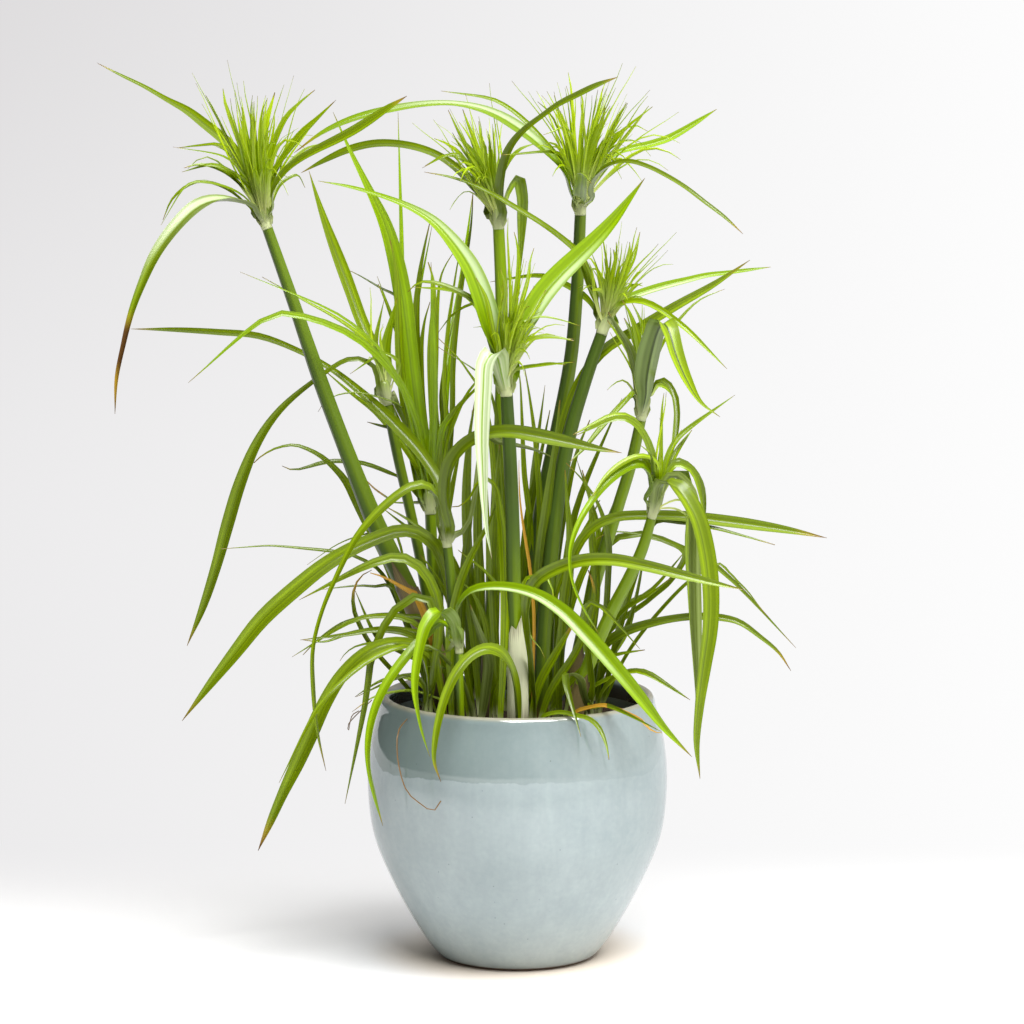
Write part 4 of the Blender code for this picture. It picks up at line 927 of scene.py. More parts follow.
# %% Tufts of rays
# How many rays stand between the measured ones, and the half widths they come in, in mm.
TUFTS = {
    "far_left": (84, (0.6, 1.0, 1.5, 2.0, 2.6)), "rear": (60, (0.6, 1.0, 1.5, 2.1)),
    "tall": (84, (0.6, 1.0, 1.4, 2.0)), "right_rear": (44, (0.6, 1.0, 1.6, 2.2)),
    "centre": (70, (0.6, 1.0, 1.5, 2.2)), "right": (14, (0.6, 0.9, 1.3)),
    "low_right": (8, (0.5, 0.8)), "left": (10, (0.5, 0.8, 1.2)),
}
for kept, (count, fine) in TUFTS.items():
    top, heading, _ = stem_tops["stem_" + kept]
    made = tuft("crown_" + kept, top, heading, count, fine)
    print(kept, [(piece.name, len(piece.data.polygons)) for piece in made])

# The young stem's head has small bracts and no rays yet.
leaves = [bent(small_blank, course, dice.uniform(0.4, 0.9), 0.3) for course in courses_in("crown_young")]
finished(joined(leaves, "young"), "small_bracts_young", young_green, "leaf", "crown_young")
print("young", len(leaves), "small bracts")

# %% [markdown]
# ## The leaves between
#
# A papyrus in a pot is crowded. Between the large leaves stand many narrower ones: young blades that rise
# from the root among the stems, bracts of the lower heads that cross each other, and thin old leaves that
# bend over the lip. They aren't in the imported model, which is built of its largest pieces, so they are
# placed here from the photograph. Each one starts on the joint that carries it or at the soil, where
# some feet that the lip hides stand up to 10 mm above it. Its depth runs evenly from there to the depth
# given for its tip.
#
# A line of the table is: what carries it, how far its foot stands behind the pot's axis in mm if it is in
# the soil, how far its tip does, its width in mm, how young it is, how dry its tip is, and the places that it
# passes in the photograph. A minus before how young it is shows the underside. A dryness of 5 or less is a
# dry tip, and more is a leaf that is dry all over.

# %% Table of the leaves between
BETWEEN = """
soil 30 20 7 .35 .3 | 440,715 415,640 385,560 364,520 353,497 345,482 335,470 322,458 310,451 297,446 \
    288,446 275,449 262,456 254,463
young 30 4.5 .3 .5 | 402,480 390,474 375,468 362,464 342,462 325,463 310,467 297,470 287,469 282,466
soil 35 20 3.2 .4 .3 | 430,700 400,610 380,572 355,557 340,553 325,551 305,549 285,547 268,546 250,547 \
    221,549
soil 30 20 2 .5 .3 | 430,700 410,600 400,545 390,531 375,532 360,536 345,541 330,549 307,565
soil 30 10 3.2 .2 .5 | 445,700 425,630 395,589 375,587 360,586 345,587 318,590
low_front -40 2.6 .3 .3 | 445,653 430,647 410,644 390,643 375,643 362,645 353,648 345,654 340,661
soil -20 -32 6 .6 9 | 445,715 432,640 415,596 403,589 392,582 380,576 370,573
young 20 3 .5 5 | 395,503 388,499 375,490 365,480 357,473
soil -10 0 2.4 .6 8 | 532,715 534,620 530,570 527,550 523,525 520,500 519,475 519,460
soil 0 10 7 .2 .3 | 480,715 470,610 455,570 445,552 430,537 415,525 400,515 388,508
soil -50 -30 6.5 .7 .3 | 500,730 505,620 503,540 500,515 496,490 488,480 478,483 470,498 460,506 452,507
soil -40 -30 6.5 .3 .2 | 452,730 450,640 455,605 462,580 470,560 480,540 488,525 500,495
soil 20 -10 5 .4 .2 | 530,715 512,620 507,600 485,572 470,560 458,550
low_centre 10 6 -.2 .2 | 470,520 485,440 500,444 520,447 537,451 555,459
young 40 5 .8 .3 | 440,500 432,500 425,485 415,465 403,447 390,430 373,411 350,393 325,371
young 60 6.5 .9 .3 | 436,500 425,470 412,447 398,428 382,412 370,405 356,399
left 10 1.6 .4 .6 | 392,400 403,408 395,403 380,398 365,394 350,393 335,396 325,402 318,412
left 40 2.8 .1 .6 | 410,437 405,433 395,430 380,426 367,422
soil -10 -60 4.6 .9 .2 | 522,725 520,640 520,610 521,600 522,588 528,578 537,575 546,577 552,588 554,602
soil -10 -60 1.8 .8 .3 | 522,725 521,640 522,600 525,620 533,640 540,648 545,658
soil 20 10 4.5 .6 .3 | 495,715 497,560 492,450 482,395 470,375 457,357 438,338
soil 30 30 3.4 .2 .3 | 500,715 505,560 498,430 486,383 470,367 452,356 438,347
young 30 4 .9 .3 | 427,505 418,430 402,385 385,362 368,343 350,328 330,315 308,303 285,290 262,277
young 60 5.4 .9 .2 | 428,500 422,430 412,382 403,350 393,322 384,298 378,284
young 80 4 .1 .3 | 424,490 418,400 408,318 398,298 380,288 360,276 346,269
young 60 5.6 .3 .3 | 425,505 420,450 418,380 416,320 419,280 424,250 430,222
young 40 7 .9 .2 | 438,505 436,450 433,400 432,350 434,305 433,280 428,262
young 50 7 .7 .2 | 420,500 410,440 404,400 400,360 398,310 396,270 390,240
young 30 6.5 .7 .2 | 440,505 441,470 446,440 453,418 463,403 476,390 486,384
young 70 3 .7 .3 | 445,505 446,420 444,380 448,330 452,300 458,262 464,240
young 75 4 .3 .3 | 446,505 452,420 453,370 456,330 461,290 466,260 470,235 472,215 473,193
young 75 3 .6 .3 | 442,505 444,440 441,400 444,370 449,340 454,320
young 70 4 .8 .3 | 450,500 436,420 436,350 438,300 441,277 447,263 454,252
young 90 5 .5 .3 | 440,505 424,420 421,360 424,325 430,302
young 70 6.5 .4 .2 | 445,500 446,460 445,420 444,390 447,365
young 90 5.5 .3 .2 | 428,500 412,450 402,430 393,405
young 60 3 .8 .3 | 430,500 448,440 464,400 480,378 494,366
centre -30 5.4 .7 .3 | 494,350 484,312 470,299 455,291 440,285 425,282 414,286 408,292
centre -10 3.2 .5 .3 | 497,360 488,318 478,305 466,307 452,316 438,333
centre -50 4.4 .9 .3 | 508,365 511,353 522,343 540,338 558,338 574,341
centre -70 3 .8 .3 | 512,372 518,369 530,367 550,364 566,365
centre -20 2.2 .9 .3 | 508,360 512,340 525,322 540,317 560,320 580,326
centre -40 4 1 .2 | 507,360 512,320 518,280 518,250 514,232
centre -10 3.4 1 .2 | 510,360 520,310 528,280 530,262 534,248
centre -70 3.4 1 .2 | 503,360 503,320 506,290 500,268
centre -60 4.4 .9 .2 | 500,365 492,330 486,300 476,278
centre -20 4.4 .9 .2 | 512,365 522,335 536,308 546,290
right -30 6 -.3 .3 | 637,405 636,375 630,350 618,330 608,312
right 0 5.4 .7 .3 | 640,400 641,370 638,340 630,315 622,300
right 30 4 .6 .3 | 642,400 644,370 645,340 640,320 632,303
right 30 5.4 .4 .3 | 644,400 640,360 632,335 624,318
right -30 4.2 .5 .3 | 634,398 628,398 615,412 598,432 585,448 570,462
right -40 4.6 .3 .3 | 648,402 652,392 658,382 666,382 674,395 677,415 675,440 668,465
right 30 2.4 .7 .4 | 648,395 652,370 665,340 681,318 700,300 725,289
low_right -50 2.8 .9 .3 | 658,490 661,470 661,440 662,410 664,393
low_right -100 5 .9 .3 | 652,495 658,480 655,462 640,457 622,464 605,478 592,497
low_right -80 6 .8 .3 | 655,490 655,475 650,450 640,430 628,418 612,417 595,424 573,435
low_right -30 5.5 .3 .3 | 660,492 665,480 675,462 690,468 700,485 704,505 704,525
low_right -75 8.5 -.5 .3 | 662,494 668,478 678,477 691,495 695,530 695,570 696,620 698,680 697,730
low_right -30 4 .8 .2 | 662,488 668,470 678,450 692,430
low_right -90 4 .9 .2 | 656,488 652,470 650,455 640,445
soil 10 -30 5.6 .4 .3 | 600,712 622,620 640,560 655,523 680,523 705,527 720,530 735,534 750,538 775,545
soil 20 30 3 .4 .5 | 600,712 630,650 680,590 716,565 728,572 738,582 748,592 758,605 768,617
soil 30 10 4.4 .2 .3 | 590,712 604,640 650,600 672,580 684,553 660,540 640,535 612,532 595,540
soil -75 -118 4 .7 .3 | 540,732 542,718 560,713 575,716 588,719 597,726 603,736 607,748 609,760
soil -62 -98 3.6 .9 9 | 562,724 577,712 590,708 605,706 622,712 640,720 652,731 662,733
soil 0 -50 4 .6 .3 | 560,722 590,690 615,677 635,671 650,674 668,685 690,700
soil 0 -40 5.4 .5 .3 | 570,722 588,660 600,640 625,610 650,595 672,577
soil 10 -20 3.6 .3 .3 | 585,715 610,660 630,620 640,580 644,550
soil -10 -20 6.5 .7 1.6 | 530,725 540,685 556,655 570,630 577,617
soil -20 -30 6 .4 1.2 | 538,728 552,690 575,655 590,620 594,590 588,570
soil 0 -20 5.4 .6 .4 | 545,722 565,690 590,665 618,655 645,650
soil 15 0 7.5 .2 .2 | 530,718 535,640 540,560 548,500 556,440 560,400
soil 25 15 7 .3 .2 | 545,716 548,640 556,560 566,500 578,450 590,420
soil 5 0 7 .4 .2 | 555,720 560,650 568,590 570,540 567,500 565,470
soil 20 -10 4.6 .2 .3 | 596,715 604,640 608,580 608,540 598,505 582,480 566,463
soil 10 10 6.4 .4 .3 | 587,718 590,650 596,590 592,540 590,500 582,470
soil 15 20 5 .7 .3 | 565,718 580,640 596,560 612,510 626,478
soil 0 0 6.5 .3 .2 | 500,722 494,620 492,560 495,500 500,440
soil 15 5 7 .3 .2 | 470,718 470,640 468,560 466,500 468,450 475,400
soil 25 25 6.5 .4 .2 | 485,716 482,640 478,560 478,500 484,450 480,410
soil 5 -10 6.5 .2 .2 | 458,720 462,600 470,520 480,470
soil 20 35 7 .3 .2 | 450,716 440,640 440,560 452,490 462,440
soil 30 40 5 .5 .2 | 520,714 535,600 540,520 536,450 530,400 524,365
soil 30 50 6 .2 .2 | 510,714 520,600 528,520 540,460 550,410
soil 40 45 4.4 .7 .3 | 505,712 530,560 524,470 522,420 520,380 516,362
soil 5 0 5.6 .5 .3 | 520,720 545,640 560,580 590,520 600,500
soil 0 -30 4.2 .2 .3 | 445,718 430,628 405,617 380,616 360,619 340,625 318,640 303,655
soil -5 -40 5 .5 .4 | 450,720 440,665 425,638 405,631 380,630 350,634 325,642 303,640
soil -10 -50 4.6 .8 .3 | 452,722 445,670 430,650 405,647 385,650 368,658 352,672 335,690 310,725
soil -15 -40 3.2 .9 .3 | 440,722 425,690 405,678 385,680 370,687 355,697
soil -20 -40 3.2 .3 .2 | 470,728 462,690 450,672 438,666 422,668
soil -15 -50 4.4 -.6 .2 | 475,726 465,690 455,672 440,655 420,647
soil -20 -50 2.4 .9 1 | 465,728 450,705 435,698 412,691 390,693 372,698 352,712
soil 10 -20 4 .3 2 | 430,715 400,680 372,648 355,615 354,590 362,576 372,570
soil -20 -35 7.5 -.3 .2 | 480,728 486,690 488,660 478,630 470,605
soil -10 -20 3.2 .8 .3 | 490,724 494,690 505,668 512,655
soil 0 -10 4.6 .3 .3 | 495,722 490,660 484,620 470,590 455,578
soil 10 0 5 .5 .3 | 475,718 462,650 448,600 432,570 420,555
far_left 40 3.2 .6 .5 | 272,205 278,188 288,179 298,176 305,188
far_left 10 3 .5 .4 | 250,208 228,190 205,182 188,186 172,200 163,220
far_left -10 4.4 .5 .4 | 252,200 232,178 214,168 198,165 184,168
far_left 60 4 .7 .4 | 255,190 238,160 220,146 200,146 178,148
far_left 30 4.4 .8 .4 | 262,190 272,150 285,120 300,103 315,90
far_left 5 5 .9 .4 | 264,190 282,160 300,135 318,118 334,102
far_left 70 3.4 .7 .4 | 268,200 285,170 305,150 325,143
tall 70 3.4 .8 .4 | 575,180 566,160 552,152 535,153 515,155
tall 20 2.4 .9 .4 | 576,170 572,140 565,127 555,131 543,135
rear 60 3.4 .8 .4 | 490,190 475,175 462,160 445,156 425,166
rear 20 3.4 .7 .4 | 488,195 478,165 462,140 448,110
rear 50 3.6 .8 .3 | 499,190 507,165 520,150 537,143
right_rear 30 3.4 .7 .4 | 598,310 590,290 580,262 570,240
right_rear 0 2.8 .8 .4 | 600,315 596,300 590,275 584,262
right_rear 50 4 .9 .3 | 606,310 615,290 632,262 640,232
"""


def faced(spots, under):
    """The upper side's direction at each stop: half up, half toward the viewer, or away from the viewer."""
    aim = UPWARD * 0.75 + FORWARD * (0.6 if under else -0.8)
    faces = []
    for number in range(len(spots)):
        heading = (spots[min(number + 1, len(spots) - 1)] - spots[max(number - 1, 0)]).normalized()
        faces.append((aim - heading * aim.dot(heading)).normalized())
    return faces


def pixels_in(text):
    """Places in the photograph, written as pairs."""
    return [tuple(float(value) for value in pair.split(",")) for pair in text.split()]


# %% Leaves between
DRY_ALL_OVER = 8
LONG_LEAF = 0.16  # in metres; a shorter one is bent from the small blank

clumps = {}
for line in BETWEEN.strip().splitlines():
    numbers, places = line.split("|")
    carrier, *numbers = numbers.split()
    *foot_depth, tip_depth, width, young, dry = (float(number) for number in numbers)
    pixels = pixels_in(places)
    top = None if foot_depth else stem_tops["stem_" + carrier][0]
    foot_depth = foot_depth[0] if foot_depth else top.y / MM
    gone = [0.0]
    for one, two in zip(pixels, pixels[1:]):
        gone.append(gone[-1] + math.dist(one, two))
    shares = [passed / gone[-1] for passed in gone]
    spots = [seen(*pixel, foot_depth + (tip_depth - foot_depth) * passed / gone[-1])
             for pixel, passed in zip(pixels, gone)]
    half_width = width / 2 * MM
    widths = [half_width * min(0.55 + share * 3, 1, (1.04 - share) * 2.6) for share in shares]
    course = Course(spots, widths, faced(spots, young < 0))
    if top:
        course = clasped(Course([top.lerp(spots[0], 0.5)] + spots, [half_width] + widths,
                                course.faces[:1] + course.faces))
    kind, dry = ("dry", 0) if dry >= DRY_ALL_OVER else (carrier, dry)
    blank = large_blank if course.length > LONG_LEAF else small_blank
    clumps.setdefault(kind, []).append(bent(blank, course, abs(young), dry, THIN_LEAF))
for kind, leaves in clumps.items():
    finish = dry_gold if kind == "dry" else leaf_green
    piece = finished(joined(leaves, kind), "leaves_between_" + kind, finish, "leaf")
    print(piece.name, len(leaves), "leaves")

# %% [markdown]
# ## Sheaths and threads
#
# At the foot of the oldest stems the leaf that once wrapped them has dried to a papery sheath, torn at the
# top: fibrous, matt, and brown where it is wet. It is the leaf blank again, rolled round the stem. A dry
# thread of root hangs over the lip, and a curly dry hair lies at the left: each is a narrow strap bent along
# its course.

# %% Sheath finish
def sheath_finish(name, pale, middle, dark):
    """A papery finish: two colours for its fibres, and one for its foot and its torn top."""
    made, tree = new_tree(name)
    blade = add(tree, "Attribute blade").outputs["Vector"]
    _, along, _ = add(tree, "SeparateXYZ", blade).outputs
    # Fibres that run up the sheath, about half a millimetre apart.
    run = add(tree, "VectorMath MULTIPLY", blade, (9, 1.2, 0))
    fibres = add(tree, "TexNoise", Vector=run, Scale=3.0, Detail=4.0)
    low = add(tree, "Math MULTIPLY_ADD", fibres, 0.35, along)
    browned = add(tree, "MapRange SMOOTHSTEP", low, 0.18, 0.5, 1.0, 0.0)
    torn = add(tree, "MapRange", low, 1.05, 1.2, 0.0, 0.6)
    streaked = add(tree, "Mix RGBA", fibres, pale, middle)
    footed = add(tree, "Mix RGBA", browned, streaked, dark)
    colour = add(tree, "Mix RGBA", torn, footed, dark)
    relief = add(tree, "Bump", Strength=0.5, Distance=0.3 * MM, Height=fibres)
    skin = add(tree, "BsdfPrincipled", Base_Color=colour, Roughness=0.55, Normal=relief)
    add(tree, "OutputMaterial", Surface=skin)
    return made


pale_sheath = sheath_finish("pale_papery_sheath", "#eef0cf", "#d3d6a8", "#5a4526")
brown_sheath = sheath_finish("brown_papery_sheath", "#857549", "#65572d", "#3b2c18")

# %% Sheaths
# For each stem: how high the sheath reaches in mm, where its open side is in degrees (0 is the right, -90
# the viewer's side), how wide it wraps in degrees, how loose it is, and its finish.
SHEATHS = {
    "stem_centre": (92, 130, 250, 0.35, pale_sheath), "stem_far_left": (135, 60, 220, 0.12, brown_sheath),
    "stem_right": (60, 80, 220, 0.2, brown_sheath), "stem_low_right": (48, 80, 200, 0.2, brown_sheath),
    "stem_rear": (70, 90, 230, 0.15, brown_sheath), "stem_left": (64, 60, 220, 0.2, brown_sheath),
}
PAPER = 0.4 * MM  # how thick a sheath is
straight = Course([Vector((0, 0, height)) for height in range(3)], [1] * 3, [Vector((1, 0, 0))] * 3)

for node, (height, open_side, wrap, loose, finish) in SHEATHS.items():
    rings, middles, length = stem_line(node)
    piece = bent(large_blank, straight, 0.5, 0)
    for vert, source in zip(piece.data.vertices, large_blank.data.vertices):
        aside, share, deep = source.co
        angle = math.radians(open_side + 180 + aside * wrap / 2)
        # The torn top slants and is ragged.
        top = 1 - 0.22 * abs(aside - 0.25) - 0.05 * math.sin(aside * 17)
        up = share * top * height * MM / length
        middle = through(middles, up * (len(middles) - 1))
        radius = (stem_point(rings, 0, up) - middle).length
        reach = radius * (1.1 + loose * (0.3 + share) * max(math.cos(angle), 0)) + (1 + deep) * PAPER
        vert.co = middle + Vector((math.cos(angle), math.sin(angle), 0)) * reach
    finished(piece, "sheath_" + node[5:], finish, "leaf")
print(len(SHEATHS), "sheaths")

# %% Threads
# How thick each is in mm, the places it passes, and how far behind the pot's axis it is at each, in mm.
THREADS = {
    "root_thread": (0.9, "412,714 399,730 397,748 399,767 406,790 419,803 433,811 441,801",
                    (-45, -96, -104, -107, -109, -108, -106, -104)),
    "dry_hair": (0.7, "372,700 350,722 349,730 352,716 359,711", (-30, -32, -34, -36, -38)),
}
for name, (width, places, depths) in THREADS.items():
    spots = [seen(*pixel, depth) for pixel, depth in zip(pixels_in(places), depths)]
    course = Course(spots, [width / 2 * MM] * len(spots), faced(spots, False))
    finished(bent(small_blank, course, 0.3, 0, HAIR), name, dry_thread, "leaf")
print(len(THREADS), "threads")

# %% [markdown]
# ## Shoots from the soil
#
# Between the stems, clumps of younger leaves push up from the root and arch over the lip.

# %% Shoots
for node in shoot_nodes:
    leaves = [bent(small_blank, course, dice.uniform(0.2, 0.7), dice.uniform(0.1, 0.5))
              for course in courses_in(node)]
    piece = finished(joined(leaves, node), "leaves_" + node, leaf_green, "leaf", node)
    print(piece.name, len(piece.data.polygons), "faces")

# %% [markdown]
# ## The pot
#
# The pot is thrown stoneware: a full belly on a small foot, drawn in below a rounded lip. A potter's shape
# is a side line turned about an axis, so the side is drawn once, outside and inside, and spun.

# %% Pot
POT_WIDTH, POT_HEIGHT = 0.221, 0.195
FOOT_WIDTH, LIP_WIDTH, WALL, FLOOR = 0.117, 0.203, 0.0085, 0.010


def pot_outside():
    """The outer side from foot to lip, through its main widths."""
    foot, widest, lip = FOOT_WIDTH / 2, POT_WIDTH / 2, LIP_WIDTH / 2
    # How far it has swelled from the foot, or has drawn in, at shares of the height.
    swelling = [(0.0, 0.0), (0.25, 0.09), (0.635, 0.277), (0.915, 0.462), (1.0, 0.65)]
    main = [(foot + swelled * (widest - foot), height) for swelled, height in swelling]
    main += [(widest - 0.22 * (widest - lip), 0.81), (lip, 0.962)]
    points = [Vector((radius, 0, height * POT_HEIGHT)) for radius, height in main]
    return [through(points, step / 6) for step in range(len(points) * 6 - 5)]


outside = pot_outside()
lip_low = outside[-1]
lip = [lip_low + Vector((-WALL / 2 + WALL / 2 * math.cos(turn), 0,
                         (POT_HEIGHT - lip_low.z) * math.sin(turn)))
       for turn in [math.pi * step / 10 for step in range(1, 10)]]
inside = [point - Vector((WALL, 0, 0)) for point in reversed(outside) if point.z > FLOOR * 1.6]
chamfer = [Vector((FOOT_WIDTH / 2 - 2.2 * MM, 0, 0)), Vector((FOOT_WIDTH / 2 - 0.7 * MM, 0, 0.35 * MM))]
inner_edge = inside[-1].x
floor_inside = [Vector((inner_edge - 3 * MM, 0, FLOOR + 0.8 * MM)), Vector((inner_edge - 8 * MM, 0, FLOOR))]
foot_edge = outside[0] + Vector((0, 0, 1.2 * MM))
profile = [Vector((0, 0, 0)), *chamfer, foot_edge, *outside[1:], *lip, *inside, *floor_inside,
           Vector((0, 0, FLOOR))]

pot = turned([(point.x, point.z) for point in profile], 120, 0.02 * MM)
bpy.ops.object.shade_smooth_by_angle(angle=math.radians(40))
print("pot", len(pot.data.polygons), "faces,", [round(side, 4) for side in pot.dimensions])

# %% [markdown]
# ## The glaze
#
# The pot wears a celadon glaze: a glassy grey-green coat over pale stoneware, fired shiny. Being glass, it
# mirrors the studio, which gives the pot its light belly and most of its darker shoulder. The rest of that
# band is a painted reflection, darker and greener and darkest at the left, so that it stays when the studio
# changes. The glaze breaks beige over the lip, where it ran thin, and has fine dark specks, faint streaks
# where it flowed, and a surface that isn't quite even, which makes every edge that it mirrors waver. Inside,
# the wall below the lip is darkened with painted shade.

# %% Glaze
BAND_FOOT = 151.6 * MM
LIP_THIN_FROM, LIP_THIN_ALL = 191.5 * MM, 194.8 * MM
# Where the painted shade on the wall inside fades out, below the lip.
INNER_SHADE_FROM, INNER_SHADE_TO = 189.5 * MM, 192.5 * MM

glaze, tree = new_tree("celadon_glaze")
where = add(tree, "TexCoord").outputs["Object"]
rightward, _, upward = add(tree, "SeparateXYZ", where).outputs
# Streaks about 9 mm apart, drawn out downward, clouds 8 cm across and a mottle of 4 mm.
run = add(tree, "VectorMath MULTIPLY", where, (1, 1, 0.15))
streaks = add(tree, "TexNoise", Vector=run, Scale=110.0, Detail=3.0, Roughness=0.55)
clouds = add(tree, "TexNoise", Vector=where, Scale=13.0, Detail=4.0, Roughness=0.6)
mottle = add(tree, "TexNoise", Vector=where, Scale=260.0, Detail=2.0)
mixed = add(tree, "Math MULTIPLY_ADD", mottle, 0.35, -0.17)
mixed = add(tree, "Math MULTIPLY_ADD", clouds, 1.3, mixed)
mixed = add(tree, "Math SUBTRACT", mixed, 0.15, clamp=True)
body = add(tree, "Mix RGBA", mixed, "#859699", "#adb9ba")
streaked = add(tree, "Math ADD", streaks, -0.35, clamp=True)
body = add(tree, "Mix RGBA", streaked, body, "#8b9a9d")
# A painted reflection: the band under the lip, where the glaze mirrors the dim room, is painted darker and
# greener. Its lower edge wavers, dips at the sides and turns up at the outline, as the edge that the glaze
# mirrors does, and it is painted darkest at the left.
waver = add(tree, "TexNoise", Vector=where, Scale=120.0, Detail=2.0)
aside = add(tree, "Math MULTIPLY", rightward, 2 / POT_WIDTH)
dip = add(tree, "Math POWER", aside, 4.0)
rise = add(tree, "Math POWER", aside, 20.0)
edge = add(tree, "Math MULTIPLY_ADD", waver, 4.5 * MM, upward)
edge = add(tree, "Math MULTIPLY_ADD", dip, 9 * MM, edge)
edge = add(tree, "Math MULTIPLY_ADD", rise, -40 * MM, edge)
band = add(tree, "MapRange SMOOTHSTEP", edge, BAND_FOOT, BAND_FOOT + MM, 0.0, 0.32)
thick = add(tree, "MapRange", rightward, -0.11, 0.05, 2.7, 0.5)
painted_band_reflection = add(tree, "Math MULTIPLY", band, thick)
painted_band_colour = add(tree, "Mix RGBA", painted_band_reflection, body, "#6d7f7a")
thin = add(tree, "MapRange SMOOTHSTEP", upward, LIP_THIN_FROM, LIP_THIN_ALL, 0.0, 0.75)
lipped = add(tree, "Mix RGBA", thin, painted_band_colour, "#a39b80")
# A few specks of iron in the clay, about 1 mm across.
speck = add(tree, "TexVoronoi", Vector=where, Scale=125.0)
pick = add(tree, "SeparateColor", speck.outputs["Color"])
rare = add(tree, "Math GREATER_THAN", pick, 0.8)
dot = add(tree, "MapRange", speck, 0.03, 0.08, 0.6, 0.0)
spots = add(tree, "Math MULTIPLY", rare, dot)
specked = add(tree, "Mix RGBA", spots, lipped, "#4b5450")
foot_ring = add(tree, "MapRange SMOOTHSTEP", upward, 0.8 * MM, 3.4 * MM, 1.0, 0.0)
footed = add(tree, "Mix RGBA", foot_ring, specked, "#5c432e")
# Painted shade: the wall inside is painted dark below the lip.
flat = add(tree, "VectorMath MULTIPLY", where, (1, 1, 0))
out = add(tree, "VectorMath LENGTH", flat)
inner = add(tree, "Math LESS_THAN", out, LIP_WIDTH / 2 - 6.5 * MM)
low = add(tree, "MapRange SMOOTHSTEP", upward, INNER_SHADE_FROM, INNER_SHADE_TO, 0.85, 0.0)
high = add(tree, "Math GREATER_THAN", upward, 0.12)
painted_inner_shade = add(tree, "Math MULTIPLY", inner, low)
painted_inner_shade = add(tree, "Math MULTIPLY", painted_inner_shade, high)
footed = add(tree, "Mix RGBA", painted_inner_shade, footed, "#252a26")
# The uneven coat: waves about 18 mm long, and a ripple of about 6 mm.
swell = add(tree, "TexNoise", Vector=where, Scale=55.0, Detail=1.0)
ripple = add(tree, "TexNoise", Vector=where, Scale=160.0, Detail=1.0)
height = add(tree, "Math MULTIPLY_ADD", ripple, 0.3, swell)
relief = add(tree, "Bump", Strength=1.0, Distance=0.11 * MM, Height=height)
# The IOR is above a real glaze's, so that the pot mirrors as strongly as in the photograph.
coat = add(tree, "BsdfPrincipled", Base_Color=footed, Roughness=0.05, IOR=1.95, Normal=relief)
add(tree, "OutputMaterial", Surface=coat)
finished(pot, "glazed_pot", glaze, "glaze", "pot")
print("glaze on", pot.name)

# %% [markdown]
# ## The soil
#
# The soil is dark potting compost: crumbs of peat and bark with a few fibres. The model's soil stays where
# it is and gets the compost's colour, and a crust with a rough top lies on it.

# %% Soil finish
compost, tree = new_tree("potting_compost")
where = add(tree, "TexCoord").outputs["Object"]
# Crumbs of about 4 mm, and finer grains.
crumbs = add(tree, "TexVoronoi", Vector=where, Scale=240.0)
grains = add(tree, "TexNoise", Vector=where, Scale=700.0, Detail=3.0)
tint = add(tree, "SeparateColor", crumbs.outputs["Color"])
dark = add(tree, "Mix RGBA", tint, "#1c150d", "#4a3520")
speckled = add(tree, "Mix RGBA", grains, dark, "#33261a")
rough = add(tree, "Math MULTIPLY_ADD", grains, 0.4, crumbs)
relief = add(tree, "Bump", Strength=0.9, Distance=1.5 * MM, Height=rough)
earth = add(tree, "BsdfPrincipled", Base_Color=speckled, Roughness=0.92, IOR=1.4, Normal=relief)
add(tree, "OutputMaterial", Surface=earth)
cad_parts["soil"].data.materials.clear()
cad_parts["soil"].data.materials.append(compost)

# %% Soil crust
SOIL_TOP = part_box("soil")[1].z
SOIL_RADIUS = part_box("soil")[1].x - 1.2 * MM

bpy.ops.object.select_all(action="DESELECT")
bpy.ops.mesh.primitive_grid_add(x_subdivisions=90, y_subdivisions=90, size=2, location=(0, 0, 0))
crust = bpy.context.object
crumble = random.Random(3)
for vert in crust.data.vertices:
    x, y = vert.co.x, vert.co.y
    # A square grid pulled round, so that its border becomes a circle.
    round_x, round_y = x * math.sqrt(1 - y * y / 2), y * math.sqrt(1 - x * x / 2)
    rim = 1 - min(math.hypot(round_x, round_y), 1) ** 8
    bump = 1.6 * math.sin(round_x * 9 + 1) * math.cos(round_y * 7) + crumble.uniform(-0.6, 1.6)
    vert.co = (round_x * SOIL_RADIUS, round_y * SOIL_RADIUS, SOIL_TOP + (0.4 + rim * (1.8 + bump)) * MM)
thickened(crust, 3.5 * MM)
bpy.ops.object.shade_smooth()
finished(crust, "soil_crust", compost, "soil")
print("soil crust", len(crust.data.polygons), "faces at", round(SOIL_TOP, 4), "m")

# %% [markdown]
# ## The studio
#
# The photograph was taken on a white table in a studio. A very large soft box hangs overhead, to the right
# and toward the viewer, and throws a faint shadow to the left, painted warmer close to the foot. Behind the
# plant the paper sweeps up into a white backdrop that glows with painted light and darkens to the upper left.
# The room on the viewer's side is dim, and the glossy pot shows it: below its shoulder it mirrors the white
# table, above it the dim room, and the sharp wavy line between the two is where the white ends. Seen from the
# pot that is a little above eye level toward the viewer, and below it at the sides. The lit table that the
# pot mirrors is out of the picture, so the floor there glows with painted light, and past its sides glossy
# rays see a painted reflection of the dim room.

# %% Floor and backdrop
scene = bpy.context.scene
scene.view_settings.view_transform = "Standard"
BACKDROP_LEFT, BACKDROP_RIGHT, BACKDROP_CORNER = "#ebeaeb", "#fefefe", "#dbd9da"
# The room's white, and the white that the table glows with as painted light.
ROOM_WHITE, TABLE_GLOW_WHITE = "#fbf9f6", "#fbfbf9"
# How far below eye level the white ends at the sides, seen from the pot, as a slope. The tilt is taken off
# toward the viewer, where it ends above eye level, and added behind, but the floor's edge goes no lower
# than the last value.
EDGE_SLOPE, EDGE_TILT, EDGE_LOWEST = 0.023, 0.073, 0.052
MIRROR_HEIGHT = 0.15  # of the band's edge on the pot


